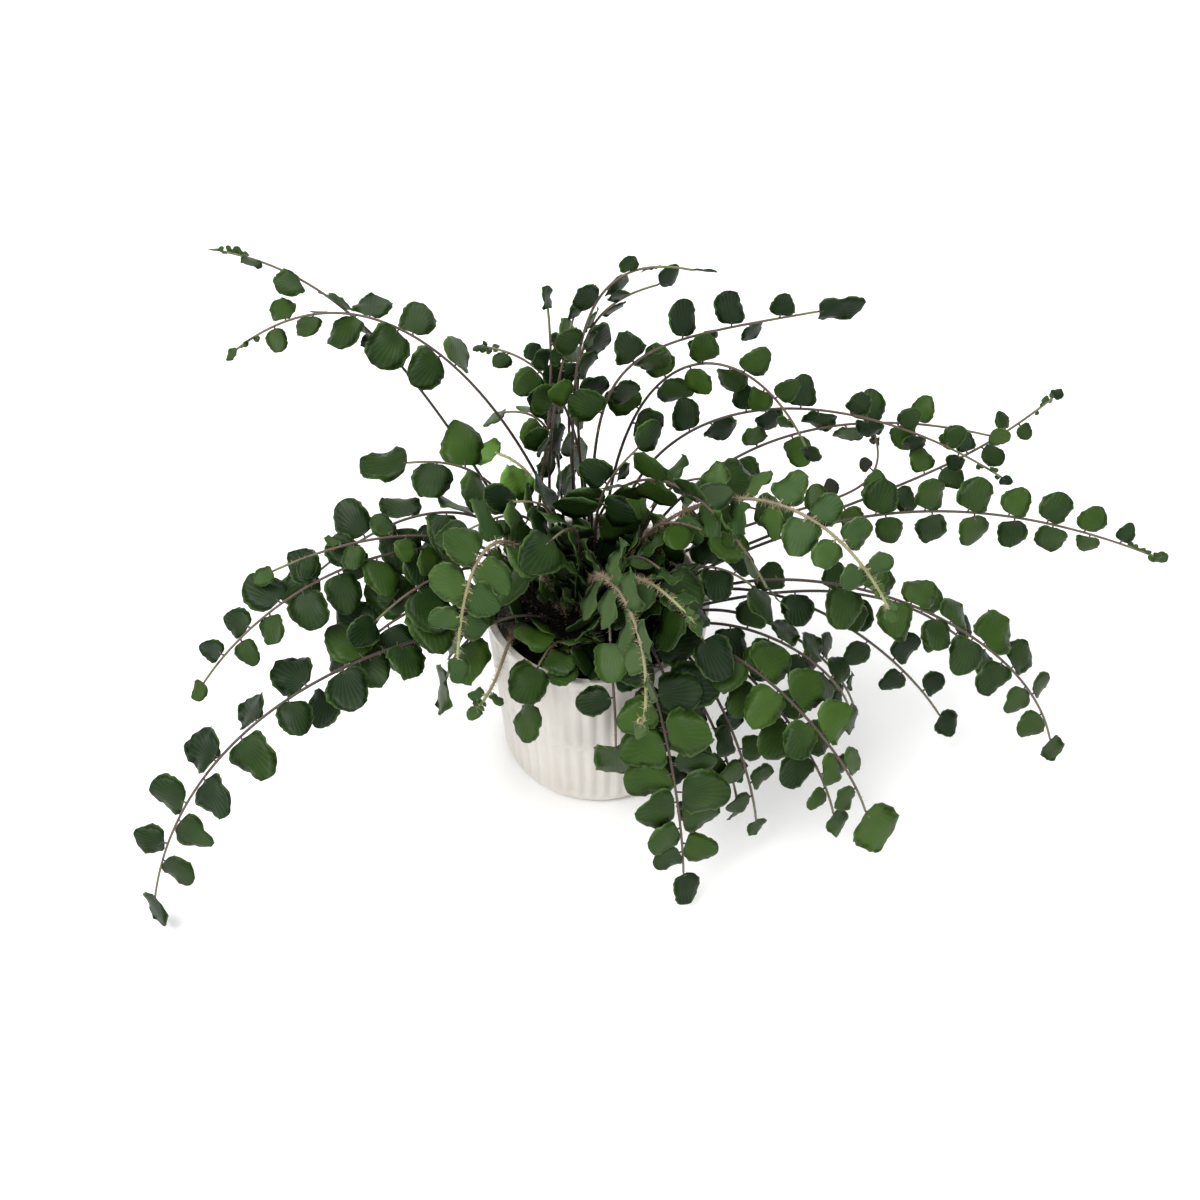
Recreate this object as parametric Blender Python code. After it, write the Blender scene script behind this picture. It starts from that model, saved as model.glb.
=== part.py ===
# Potted cliff brake fern: a ribbed round pot, its soil, and one solid for each frond.
# Metres, +Z up. The origin is the middle of the pot's underside, on the pot's axis.
# Bearings are degrees seen from above: 0 is +X, 90 is +Y.
import math
import random
from collections import namedtuple

import bmesh
import bpy
from mathutils import Vector
from mathutils.bvhtree import BVHTree

# Pot: a nominal 12 cm planter
POT_HEIGHT = 0.116
POT_RIM_RADIUS = 0.060
POT_FOOT_RADIUS = 0.0514
POT_WALL = 0.0040
POT_FLOOR = 0.0045
RIB_COUNT = 46
RIB_DEPTH = 0.0011
LIP_HEIGHT = 0.0045
WAIST_HEIGHT = 0.0545
WAIST_HALF_WIDTH = 0.0010
RIB_FADE = 0.0022
FOOT_ROUNDING = 0.0045
FOOT_CORNER_INSET = 0.0010
FOOT_CORNER_HEIGHT = 0.0020

# Soil: fills the pot to below the rim, a little higher in the middle
SOIL_EDGE_HEIGHT = 0.100
SOIL_CROWN_HEIGHT = 0.1045
GAP = 0.0003

# Stems and rachises are three-sided; radii are from the middle to a corner
STEM_RADIUS = 0.00105
TIP_RADIUS = 0.00075
STEM_HOLE_DEPTH = 0.008
STEM_CLEAR_OF_SOIL = 0.002
PETIOLE_RING_STEP = 0.027
CURVE_STEPS = 400
PATH_SAMPLES = 72
CLEARANCE = 0.00035

# Leaflets: where they stand on the rachis, as shares of its length
LAST_SIDE_LEAF = 0.965
PAIR_SHIFT = 0.8
SPACING_POWER = 0.92
TAPER_FROM = 0.55
TAPER_BY = 0.42
# Their necks: the width on the rachis, and the root's place as shares of the stem's radius
NECK_WIDTH = 0.0013
NECK_SHARE = 0.7
NECK_END = 0.0001
ROOT_OUT = 0.6
ROOT_UP = 0.3
# Their blades: oblong and round, fuller on the neck's side; rows run 0 to 1 from neck to tip
STALKLET = 0.0012
BLADE_THICKNESS = 0.0007
BLADE_ASPECT = 0.92
BLADE_FULLNESS = 0.85
BLADE_HEART = 0.14
CUP_POWER = 1.5
EDGE_WAVES = 3.0
SMALL_LEAF, SMALL_ROWS, SMALL_WIDENING = 0.0125, (0.29, 0.79), 1.14
MIDDLE_ROWS, WIDENING = (0.21, 0.52, 0.86), 1.05
LARGE_LEAF, LARGE_ROWS = 0.0245, (0.17, 0.42, 0.66, 0.90)
LOWEST_LEAF = 0.004
# What differs from leaflet to leaflet: length and width as factors, angles in degrees, and the
# blade's cupping, bending and waving as shares of its length
LEAF_DRAWS = (
    ("length", 0.92, 1.18), ("width", 0.90, 1.14), ("lift", -20, 14), ("sweep", 4, 24),
    ("twist", -16, 16), ("cup", -0.012, 0.096), ("bend", 0.02, 0.20), ("wave", 0.02, 0.07),
    ("phase", 0.0, math.tau))
MIDDLE_SWEEP = 14
CREST_SWEEP_SHARE = 0.5
DRAW_SEED = 4100

# A frond: where its foot stands on the soil (x, y); the bearing and slope it starts with, and how
# long it holds them as a share of the span from foot to tip; where its tip is (bearing and reach
# from the pot's axis, height over the table); the bearing and slope it ends with, and for how long;
# the share of its length that is bare; its leaflets' number and length; the last leaflet's length;
# the turn of its leafy plane about the rachis; how far the leaflets pair up; and 1 if it is young.
Frond = namedtuple("Frond", "name foot start tip end bare leaves size crest roll pairing young")
FRONDS = (
    Frond("left_01", (-0.030, 0.027), (136, 46, 0.50), (145, 0.242, 0.235), (166, 2, 0.30),
          0.60, 8, 0.0160, 0.007, 50, 0.7, 0),
    Frond("left_02", (-0.013, 0.035), (136, 70, 0.52), (152, 0.216, 0.200), (198, -34, 0.45),
          0.50, 11, 0.0205, 0.009, 10, 0.5, 0),
    Frond("left_03", (-0.025, 0.034), (152, 58, 0.52), (154, 0.110, 0.168), (178, -10, 0.40),
          0.62, 4, 0.0255, 0.024, 25, 0.3, 0),
    Frond("left_04", (-0.024, 0.019), (164, 66, 0.55), (185, 0.145, 0.150), (204, -34, 0.50),
          0.45, 7, 0.0230, 0.022, 0, 0.3, 0),
    Frond("left_05", (-0.018, 0.006), (172, 55, 0.42), (190, 0.166, 0.170), (200, -14, 0.40),
          0.60, 6, 0.0120, 0.012, 10, 0.6, 0),
    Frond("left_06", (-0.026, 0.010), (172, 60, 0.42), (199, 0.211, 0.130), (216, -46, 0.42),
          0.36, 14, 0.0200, 0.012, 0, 0.3, 0),
    Frond("left_07", (-0.030, 0.000), (192, 60, 0.42), (205, 0.152, 0.115), (228, -50, 0.40),
          0.36, 9, 0.0240, 0.020, 0, 0.3, 0),
    Frond("left_08", (-0.024, -0.004), (212, 28, 0.60), (209, 0.265, 0.025), (216, -76, 0.42),
          0.26, 15, 0.0210, 0.016, 0, 0.3, 0),
    Frond("left_09", (-0.015, -0.013), (210, 58, 0.75), (203, 0.086, 0.090), (205, -80, 0.50),
          0.70, 3, 0.0230, 0.030, 0, 0.2, 0),
    Frond("left_10", (-0.019, -0.001), (190, 76, 0.85), (227, 0.102, 0.158), (262, -58, 0.70),
          0.46, 11, 0.0215, 0.012, 0, 0.9, 1),
    Frond("left_11", (-0.037, -0.003), (244, 30, 0.35), (235, 0.104, 0.130), (240, 8, 0.30),
          0.86, 3, 0.0080, 0.008, 0, 0.5, 1),
    Frond("left_12", (-0.033, 0.012), (184, 60, 0.42), (200, 0.120, 0.145), (205, -40, 0.42),
          0.50, 6, 0.0230, 0.020, 0, 0.3, 0),
    Frond("up_01", (-0.012, 0.028), (92, 84, 0.62), (56, 0.084, 0.285), (350, -6, 0.36),
          0.52, 9, 0.0170, 0.014, 40, 0.4, 0),
    Frond("up_02", (-0.006, 0.035), (92, 80, 0.60), (69, 0.086, 0.265), (8, 12, 0.35),
          0.56, 7, 0.0190, 0.015, 40, 0.3, 0),
    Frond("up_03", (-0.032, 0.033), (90, 74, 0.40), (109, 0.076, 0.255), (100, 62, 0.40),
          0.55, 7, 0.0150, 0.014, 60, 0.4, 0),
    Frond("up_04", (-0.025, 0.041), (86, 78, 0.40), (100, 0.071, 0.250), (66, 52, 0.40),
          0.50, 7, 0.0150, 0.014, 50, 0.5, 0),
    Frond("up_05", (-0.002, 0.040), (112, 76, 0.50), (124, 0.105, 0.215), (158, -10, 0.40),
          0.50, 8, 0.0150, 0.007, 30, 0.5, 0),
    Frond("up_06", (-0.016, 0.042), (120, 74, 0.50), (123, 0.088, 0.180), (172, -15, 0.40),
          0.36, 8, 0.0200, 0.018, 40, 0.5, 0),
    Frond("up_07", (-0.009, 0.042), (98, 80, 0.42), (99, 0.085, 0.205), (80, 50, 0.40),
          0.40, 6, 0.0230, 0.022, 50, 0.4, 0),
    Frond("up_08", (-0.019, 0.027), (128, 74, 0.50), (132, 0.077, 0.165), (152, -4, 0.35),
          0.62, 3, 0.0190, 0.018, 20, 0.3, 1),
    Frond("right_01", (-0.003, 0.027), (92, 84, 0.82), (39, 0.147, 0.235), (16, -2, 0.62),
          0.44, 10, 0.0195, 0.031, 20, 0.3, 0),
    Frond("right_02", (0.003, 0.032), (86, 66, 1.00), (20, 0.115, 0.190), (322, -58, 0.60),
          0.40, 12, 0.0190, 0.014, 0, 0.4, 0),
    Frond("right_03", (0.006, 0.025), (80, 66, 0.56), (11, 0.216, 0.165), (344, -30, 0.46),
          0.36, 13, 0.0170, 0.008, 20, 0.4, 0),
    Frond("right_04", (0.014, 0.026), (36, 58, 0.42), (15, 0.212, 0.182), (350, -8, 0.42),
          0.40, 10, 0.0180, 0.014, 45, 0.3, 0),
    Frond("right_05", (0.025, 0.014), (6, 32, 0.50), (21, 0.262, 0.170), (40, 10, 0.35),
          0.42, 11, 0.0150, 0.008, 30, 0.4, 0),
    Frond("right_06", (0.022, 0.022), (14, 38, 0.60), (31, 0.175, 0.150), (112, 36, 0.35),
          0.60, 5, 0.0110, 0.009, 60, 0.4, 0),
    Frond("right_07", (0.027, 0.006), (4, 42, 0.40), (4, 0.297, 0.125), (350, -20, 0.42),
          0.46, 14, 0.0185, 0.010, 75, 0.8, 0),
    Frond("right_08", (0.030, -0.004), (348, 55, 0.48), (348, 0.247, 0.060), (332, -74, 0.42),
          0.42, 14, 0.0205, 0.014, 15, 0.4, 0),
    Frond("right_09", (0.022, -0.008), (350, 34, 0.42), (357, 0.205, 0.080), (346, -50, 0.42),
          0.36, 10, 0.0190, 0.016, 30, 0.3, 0),
    Frond("right_10", (0.003, 0.010), (10, 70, 0.56), (337, 0.157, 0.180), (318, -52, 0.50),
          0.36, 15, 0.0190, 0.010, 0, 0.8, 1),
    Frond("right_11", (-0.005, 0.014), (96, 74, 0.60), (330, 0.098, 0.180), (316, -50, 0.72),
          0.32, 12, 0.0220, 0.016, 0, 0.6, 0),
    Frond("right_12", (0.034, -0.011), (344, 60, 0.48), (353, 0.143, 0.035), (340, -82, 0.42),
          0.60, 5, 0.0150, 0.011, 40, 0.5, 0),
    Frond("right_13", (0.036, 0.002), (352, 52, 0.42), (354, 0.188, 0.040), (345, -60, 0.42),
          0.58, 6, 0.0170, 0.015, 50, 0.4, 0),
    Frond("right_14", (0.031, -0.019), (342, 60, 0.46), (344, 0.140, 0.070), (335, -70, 0.42),
          0.34, 10, 0.0205, 0.017, 20, 0.3, 0),
    Frond("front_01", (0.024, -0.024), (314, 62, 0.60), (315, 0.120, 0.032), (306, -80, 0.46),
          0.50, 7, 0.0175, 0.013, 10, 0.3, 0),
    Frond("front_02", (0.017, -0.027), (308, 62, 0.62), (312, 0.112, 0.040), (306, -80, 0.46),
          0.50, 5, 0.0160, 0.013, 10, 0.3, 0),
    Frond("front_03", (0.028, -0.014), (322, 50, 0.42), (322, 0.157, 0.055), (318, -74, 0.42),
          0.42, 9, 0.0200, 0.017, 10, 0.3, 0),
    Frond("front_04", (0.032, -0.026), (325, 66, 0.46), (323, 0.174, 0.068), (325, -70, 0.42),
          0.36, 10, 0.0205, 0.030, 0, 0.3, 0),
    Frond("front_05", (0.009, -0.027), (302, 66, 0.62), (292, 0.122, 0.024), (284, -84, 0.46),
          0.36, 13, 0.0240, 0.019, 0, 0.4, 0),
    Frond("front_06", (0.003, -0.032), (286, 68, 0.85), (277, 0.080, 0.090), (272, -88, 0.55),
          0.62, 3, 0.0180, 0.029, 0, 0.2, 0),
    Frond("front_07", (0.012, -0.020), (308, 68, 0.70), (298, 0.104, 0.060), (292, -84, 0.50),
          0.34, 10, 0.0240, 0.019, 0, 0.3, 0),
    Frond("front_08", (-0.002, -0.004), (180, 82, 0.60), (282, 0.112, 0.150), (256, -60, 0.55),
          0.30, 10, 0.0210, 0.010, 0, 0.5, 1),
    Frond("front_09", (0.005, -0.004), (300, 70, 0.42), (304, 0.084, 0.180), (322, -30, 0.42),
          0.50, 6, 0.0180, 0.010, 0, 0.5, 1),
    Frond("front_10", (-0.002, -0.025), (252, 64, 0.62), (243, 0.072, 0.106), (240, -60, 0.42),
          0.50, 4, 0.0195, 0.019, 0, 0.3, 0),
    Frond("front_11", (-0.011, -0.022), (238, 50, 0.42), (241, 0.062, 0.124), (242, -24, 0.42),
          0.45, 4, 0.0200, 0.020, 0, 0.3, 0),
    Frond("crown_01", (-0.010, 0.003), (230, 74, 0.60), (206, 0.040, 0.158), (214, -30, 0.50),
          0.36, 6, 0.0215, 0.021, 0, 0.4, 0),
    Frond("crown_02", (0.003, 0.002), (320, 72, 0.50), (318, 0.048, 0.170), (318, -16, 0.40),
          0.32, 7, 0.0230, 0.021, 0, 0.4, 0),
    Frond("crown_03", (0.012, 0.014), (20, 70, 0.50), (14, 0.066, 0.190), (6, -14, 0.40),
          0.30, 8, 0.0225, 0.022, 0, 0.4, 0),
    Frond("crown_04", (-0.001, 0.020), (66, 76, 0.45), (48, 0.030, 0.205), (40, 20, 0.35),
          0.36, 7, 0.0210, 0.020, 20, 0.4, 0),
    Frond("crown_05", (0.011, -0.011), (318, 64, 0.50), (314, 0.077, 0.148), (310, -36, 0.45),
          0.32, 7, 0.0225, 0.021, 0, 0.3, 0),
    Frond("crown_06", (0.017, -0.003), (340, 64, 0.50), (345, 0.082, 0.150), (342, -36, 0.45),
          0.32, 8, 0.0220, 0.021, 0, 0.3, 0),
    Frond("crown_07", (-0.016, 0.013), (176, 74, 0.60), (182, 0.065, 0.172), (188, -30, 0.50),
          0.40, 7, 0.0215, 0.020, 0, 0.4, 0),
    Frond("crown_08", (0.009, 0.005), (352, 72, 0.55), (351, 0.058, 0.176), (346, -24, 0.45),
          0.36, 7, 0.0225, 0.021, 0, 0.4, 0),
    Frond("crown_09", (-0.007, 0.008), (216, 80, 0.42), (222, 0.030, 0.184), (228, -4, 0.34),
          0.34, 7, 0.0230, 0.022, 0, 0.4, 0),
    Frond("crown_10", (-0.020, 0.020), (158, 76, 0.50), (168, 0.044, 0.180), (174, -12, 0.40),
          0.36, 6, 0.0220, 0.021, 10, 0.4, 0),
    Frond("crown_11", (0.018, 0.008), (4, 66, 0.50), (2, 0.080, 0.182), (354, -20, 0.42),
          0.30, 8, 0.0225, 0.021, 0, 0.4, 0),
    Frond("crown_12", (0.004, -0.012), (280, 72, 0.50), (277, 0.056, 0.146), (272, -30, 0.40),
          0.34, 6, 0.0235, 0.022, 0, 0.4, 0),
)

# Small changes to a frond's starting slope and bearing, tried in order until its rachis is clear
PATH_NUDGES = (
    (0, 0), (4, 0), (-4, 0), (0, 6), (0, -6), (6, 6), (6, -6), (-6, 6), (-6, -6), (9, 0), (-9, 0),
    (0, 12), (0, -12), (10, 12), (10, -12), (14, 0), (0, 20), (0, -20), (12, 20), (12, -20))
# Lift, sweep, size and stalklet of a leaflet, tried in order until its blade is clear
LEAF_CHOICES = (
    (0, 0, 1.0, 1.0), (16, 0, 1.0, 1.0), (-16, 0, 1.0, 1.0), (32, 0, 1.0, 1.0), (-32, 0, 1.0, 1.0),
    (0, 18, 1.0, 1.0), (0, -18, 1.0, 1.0), (50, 0, 0.95, 1.0), (-50, 0, 0.95, 1.0), (0, -9, 0.95, 2.2),
    (24, -9, 0.95, 2.2), (-24, -9, 0.95, 2.2), (24, 18, 0.9, 1.0), (-24, 18, 0.9, 1.0),
    (0, 0, 0.78, 1.0), (30, 0, 0.78, 1.0), (-30, 0, 0.78, 1.0), (0, -24, 0.85, 2.8), (45, -9, 0.8, 2.2),
    (-45, -9, 0.8, 2.2), (60, 15, 0.78, 1.0), (-60, 15, 0.78, 1.0), (0, 20, 0.62, 1.0),
    (40, 0, 0.62, 1.0), (-40, 0, 0.62, 1.0), (30, -24, 0.6, 2.2), (-30, -24, 0.6, 2.2),
    (0, -12, 0.5, 2.2), (50, -12, 0.5, 2.2), (-50, -12, 0.5, 2.2))

LEAF_COLOURS = ((0.035, 0.085, 0.028), (0.110, 0.210, 0.050))
LEAF_ROUGHNESS = 0.45
POT_COLOUR = (0.86, 0.84, 0.80)
POT_ROUGHNESS = 0.35
SOIL_COLOUR = (0.020, 0.014, 0.010)
SOIL_ROUGHNESS = 0.95


Path = namedtuple("Path", "points along normals length")


def bearing_vector(bearing, slope=0.0):
    """Unit vector along a bearing and a slope, both in degrees."""
    across = math.cos(math.radians(slope))
    angle = math.radians(bearing)
    return Vector((across * math.cos(angle), across * math.sin(angle), math.sin(math.radians(slope))))


def material(name, colour, roughness):
    made = bpy.data.materials.new(name)
    made.use_nodes = True
    shader = made.node_tree.nodes["Principled BSDF"]
    shader.inputs["Base Color"].default_value = (*colour, 1.0)
    shader.inputs["Roughness"].default_value = roughness
    shader.inputs["Metallic"].default_value = 0.0
    return made


def add_object(name, points, faces, colour, roughness):
    """One closed solid, its faces pointing out."""
    mesh = bpy.data.meshes.new(name)
    shape = bmesh.new()
    corners = [shape.verts.new(point) for point in points]
    for face in faces:
        shape.faces.new([corners[index] for index in face])
    bmesh.ops.recalc_face_normals(shape, faces=shape.faces)
    if shape.calc_volume(signed=True) < 0:
        bmesh.ops.reverse_faces(shape, faces=shape.faces)
    shape.to_mesh(mesh)
    shape.free()
    mesh.materials.append(material(name + "_finish", colour, roughness))
    made = bpy.data.objects.new(name, mesh)
    bpy.context.scene.collection.objects.link(made)
    return made


def add_ring(points, radius, height, depth):
    """A level ring. With ribs it has a crest and a valley for each, else one point for each."""
    start = len(points)
    steps = 2 if depth else 1
    for index in range(RIB_COUNT * steps):
        angle = math.tau * index / (RIB_COUNT * steps)
        here = radius - (depth if depth and index % 2 else 0.0)
        points.append((here * math.cos(angle), here * math.sin(angle), height))
    return list(range(start, len(points)))


def band(faces, lower, upper):
    """Faces between two rings, which may differ by the ribs' valleys."""
    low_step, high_step = len(lower) // RIB_COUNT, len(upper) // RIB_COUNT
    for rib in range(RIB_COUNT):
        low = [lower[(rib * low_step + k) % len(lower)] for k in range(low_step + 1)]
        high = [upper[(rib * high_step + k) % len(upper)] for k in range(high_step + 1)]
        if low_step == high_step:
            for k in range(low_step):
                faces.append((low[k], low[k + 1], high[k + 1], high[k]))
        elif low_step < high_step:
            faces += [(low[0], high[1], high[0]), (low[0], low[1], high[1]), (low[1], high[2], high[1])]
        else:
            faces += [(low[0], low[1], high[0]), (low[1], high[1], high[0]), (low[1], low[2], high[1])]


def pot_radius(height):
    """Outer radius of the pot's wall, straight from foot to rim."""
    return POT_FOOT_RADIUS + (POT_RIM_RADIUS - POT_FOOT_RADIUS) * height / POT_HEIGHT


def bore_radius(height):
    return pot_radius(height) - POT_WALL


def build_pot():
    lip_foot = POT_HEIGHT - LIP_HEIGHT
    waist_low, waist_high = WAIST_HEIGHT - WAIST_HALF_WIDTH, WAIST_HEIGHT + WAIST_HALF_WIDTH
    outside = (
        (POT_FOOT_RADIUS - FOOT_ROUNDING, 0.0, 0.0),
        (POT_FOOT_RADIUS - FOOT_CORNER_INSET, FOOT_CORNER_HEIGHT, 0.0),
        (pot_radius(FOOT_ROUNDING), FOOT_ROUNDING + RIB_FADE, RIB_DEPTH),
        (pot_radius(waist_low), waist_low - RIB_FADE, RIB_DEPTH),
        (pot_radius(waist_low), waist_low, 0.0),
        (pot_radius(waist_high), waist_high, 0.0),
        (pot_radius(waist_high), waist_high + RIB_FADE, RIB_DEPTH),
        (pot_radius(lip_foot), lip_foot - RIB_FADE, RIB_DEPTH),
        (pot_radius(lip_foot), lip_foot, 0.0),
        (POT_RIM_RADIUS, POT_HEIGHT, 0.0),
        (bore_radius(POT_HEIGHT), POT_HEIGHT, 0.0),
        (bore_radius(POT_FLOOR), POT_FLOOR, 0.0),
    )
    points, faces = [], []
    rings = [add_ring(points, *level) for level in outside]
    for lower, upper in zip(rings, rings[1:]):
        band(faces, lower, upper)
    faces.append(tuple(rings[0]))
    faces.append(tuple(rings[-1]))
    return add_object("pot", points, faces, POT_COLOUR, POT_ROUGHNESS)


def soil_height(x, y):
    """Top of the soil: a low cone."""
    share = min(1.0, math.hypot(x, y) / (bore_radius(SOIL_EDGE_HEIGHT) - GAP))
    return SOIL_CROWN_HEIGHT + (SOIL_EDGE_HEIGHT - SOIL_CROWN_HEIGHT) * share


def foot_point(frond):
    return Vector((*frond.foot, soil_height(*frond.foot)))


def triangle_ring(middle, across, up, radius):
    """Top left, top right and bottom corner of a stem, seen along it."""
    half_width = radius * math.sin(math.radians(60))
    return [middle - across * half_width + up * radius * 0.5,
            middle + across * half_width + up * radius * 0.5,
            middle - up * radius]


def build_soil():
    """The filling of the pot, with a plain three-sided hole for every stem."""
    points, faces = [], []
    edge = bore_radius(SOIL_EDGE_HEIGHT) - GAP
    rings = [add_ring(points, bore_radius(POT_FLOOR) - GAP, POT_FLOOR + GAP, 0.0)]
    rings.append(add_ring(points, edge, SOIL_EDGE_HEIGHT, 0.0))
    band(faces, *rings)
    faces.append(tuple(rings[0]))
    centre = len(points)
    points.append((0.0, 0.0, SOIL_CROWN_HEIGHT))
    for index in range(RIB_COUNT):
        faces.append((rings[-1][index], rings[-1][(index + 1) % RIB_COUNT], centre))
    soil = add_object("soil", points, faces, SOIL_COLOUR, SOIL_ROUGHNESS)

    points, faces = [], []
    for frond in FRONDS:
        base = len(points)
        across, up = bearing_vector(frond.start[0] - 90), bearing_vector(frond.start[0] + 180)
        for height in (foot_point(frond).z - STEM_HOLE_DEPTH, SOIL_CROWN_HEIGHT + STEM_HOLE_DEPTH):
            points += triangle_ring(Vector((*frond.foot, height)), across, up, STEM_RADIUS + 2 * GAP)
        faces += [(base, base + 1, base + 2), (base + 3, base + 4, base + 5)]
        faces += [(base + k, base + (k + 1) % 3, base + 3 + (k + 1) % 3, base + 3 + k) for k in range(3)]
    cutter = add_object("stem_holes", points, faces, SOIL_COLOUR, SOIL_ROUGHNESS)
    cutter.hide_render = True
    cutter.display_type = "WIRE"
    holes = soil.modifiers.new("stem holes", "BOOLEAN")
    holes.operation = "DIFFERENCE"
    holes.object = cutter
    holes.solver = "EXACT"
    return soil


def frond_path(frond, nudge):
    """The frond's middle line over the soil, sampled evenly."""
    first = foot_point(frond) + Vector((0, 0, STEM_CLEAR_OF_SOIL))
    last = bearing_vector(frond.tip[0]) * frond.tip[1] + Vector((0, 0, frond.tip[2]))
    span = (last - first).length
    leave = bearing_vector(frond.start[0] + nudge[1], frond.start[1] + nudge[0])
    arrive = bearing_vector(*frond.end[:2])
    hold = (first, first + leave * span * frond.start[2], last - arrive * span * frond.end[2], last)
    curve = []
    for index in range(CURVE_STEPS + 1):
        t = index / CURVE_STEPS
        weights = ((1 - t) ** 3, 3 * t * (1 - t) ** 2, 3 * t * t * (1 - t), t ** 3)
        curve.append(sum((point * weight for point, weight in zip(hold, weights)), Vector()))
    lengths = [0.0]
    for before, after in zip(curve, curve[1:]):
        lengths.append(lengths[-1] + (after - before).length)
    points, at = [], 0
    for index in range(PATH_SAMPLES + 1):
        goal = lengths[-1] * index / PATH_SAMPLES
        while at < CURVE_STEPS - 1 and lengths[at + 1] < goal:
            at += 1
        share = (goal - lengths[at]) / (lengths[at + 1] - lengths[at])
        points.append(curve[at].lerp(curve[at + 1], min(1.0, share)))
    up = bearing_vector(frond.start[0] + 180)
    along, normals = [], []
    for index in range(PATH_SAMPLES + 1):
        low, high = max(0, index - 1), min(PATH_SAMPLES, index + 1)
        direction = (points[high] - points[low]).normalized()
        up = (up - direction * up.dot(direction)).normalized()
        along.append(direction)
        normals.append(up)
    return Path(points, along, normals, lengths[-1])


def frame_at(path, share, roll):
    """Point, direction, rightward and upward vectors at a share of the path, turned by roll."""
    index = min(int(share * PATH_SAMPLES), PATH_SAMPLES - 1)
    rest = share * PATH_SAMPLES - index
    middle = path.points[index].lerp(path.points[index + 1], rest)
    direction = path.along[index].lerp(path.along[index + 1], rest).normalized()
    up = path.normals[index].lerp(path.normals[index + 1], rest)
    up = (up - direction * up.dot(direction)).normalized()
    across = direction.cross(up)
    turn = math.radians(roll)
    turned_up = up * math.cos(turn) + across * math.sin(turn)
    return middle, direction, direction.cross(turned_up), turned_up


def leaf_shares(frond):
    """Where the leaflets stand along the path: closer together near the tip, paired in part."""
    spread = LAST_SIDE_LEAF - frond.bare
    shares = []
    for index in range(frond.leaves - 1):
        place = index - (PAIR_SHIFT * frond.pairing if index % 2 else 0.0)
        shares.append(frond.bare + spread * (place / (frond.leaves - 1)) ** SPACING_POWER)
    return shares


def ring_shares(frond, path):
    """Where the stem has a ring of corners: along the petiole, at every leaflet and at the tip."""
    count = max(2, round(frond.bare * path.length / PETIOLE_RING_STEP))
    petiole = [frond.bare * ring / count for ring in range(count)]
    return petiole + leaf_shares(frond) + [1.0]


def stem_radius(share):
    return STEM_RADIUS + (TIP_RADIUS - STEM_RADIUS) * share


def roll_at(frond, share):
    """The leafy plane's turn grows along the petiole and is whole where the leaflets start."""
    return frond.roll * min(1.0, share / frond.bare)


def leaf_form(frond_index, leaf_index, frond, choice):
    """A leaflet's own length, width and lie, from draws that are the same on every run."""
    draw = random.Random(DRAW_SEED + 100 * frond_index + leaf_index)
    form = {name: draw.uniform(low, high) for name, low, high in LEAF_DRAWS}
    lift, sweep, scale, stalk = choice
    last = frond.leaves - 1
    if leaf_index == last:
        form["length"] *= frond.crest * scale
        form["sweep"] = CREST_SWEEP_SHARE * (form["sweep"] - MIDDLE_SWEEP)
    else:
        tapering = max(0.0, leaf_index / last - TAPER_FROM) / (1.0 - TAPER_FROM)
        form["length"] *= frond.size * (1.0 - TAPER_BY * tapering) * scale
    form["width"] *= form["length"] * BLADE_ASPECT
    form["lift"] += lift
    form["sweep"] += sweep
    form["stalk"] = STALKLET * stalk
    return form


def leaf_axes(form, direction, outward, up):
    """Unit vectors along, across and over a leaflet that leaves the rachis outward."""
    lift, sweep, twist = (math.radians(form[key]) for key in ("lift", "sweep", "twist"))
    side = outward * math.cos(lift) + up * math.sin(lift)
    over = up * math.cos(lift) - outward * math.sin(lift)
    length_way = side * math.cos(sweep) + direction * math.sin(sweep)
    width_way = direction * math.cos(sweep) - side * math.sin(sweep)
    return (length_way, width_way * math.cos(twist) + over * math.sin(twist),
            over * math.cos(twist) - width_way * math.sin(twist))


def blade_point(form, root, axes, row, side):
    """A point of the blade: row runs 0 to 1 from neck to tip, side -1 to 1 across."""
    length_way, width_way, over = axes
    angle = math.pi * row
    x = 0.5 * (1 - math.cos(angle))
    y = 0.5 * math.sin(angle) ** BLADE_FULLNESS * (1 + BLADE_HEART * math.cos(angle)) * side
    z = -form["cup"] * abs(side) ** CUP_POWER * math.sin(angle) - form["bend"] * x * x
    z += form["wave"] * side * side * math.sin(EDGE_WAVES * angle + side + form["phase"])
    return (root + length_way * (form["stalk"] + form["length"] * x)
            + width_way * form["width"] * y + over * form["length"] * z)


def blade_outline(form, root, axes):
    """Outline of the upper face, forward side out to the tip and rear side back."""
    rows, side = MIDDLE_ROWS, WIDENING
    if form["length"] > LARGE_LEAF:
        rows = LARGE_ROWS
    elif form["length"] < SMALL_LEAF:
        rows, side = SMALL_ROWS, SMALL_WIDENING
    forward = [blade_point(form, root, axes, row, side) for row in rows]
    rear = [blade_point(form, root, axes, row, -side) for row in rows]
    return forward + rear[::-1]


def blade_strips(outline, flip=False):
    """Triangles across a blade, the same on both of its faces."""
    count = len(outline)
    faces = []
    for row in range(count // 2 - 1):
        a, b, c, d = (outline[row], outline[row + 1], outline[count - 2 - row], outline[count - 1 - row])
        faces += [(a, b, c), (a, c, d)]
    return [face[::-1] for face in faces] if flip else faces


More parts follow.
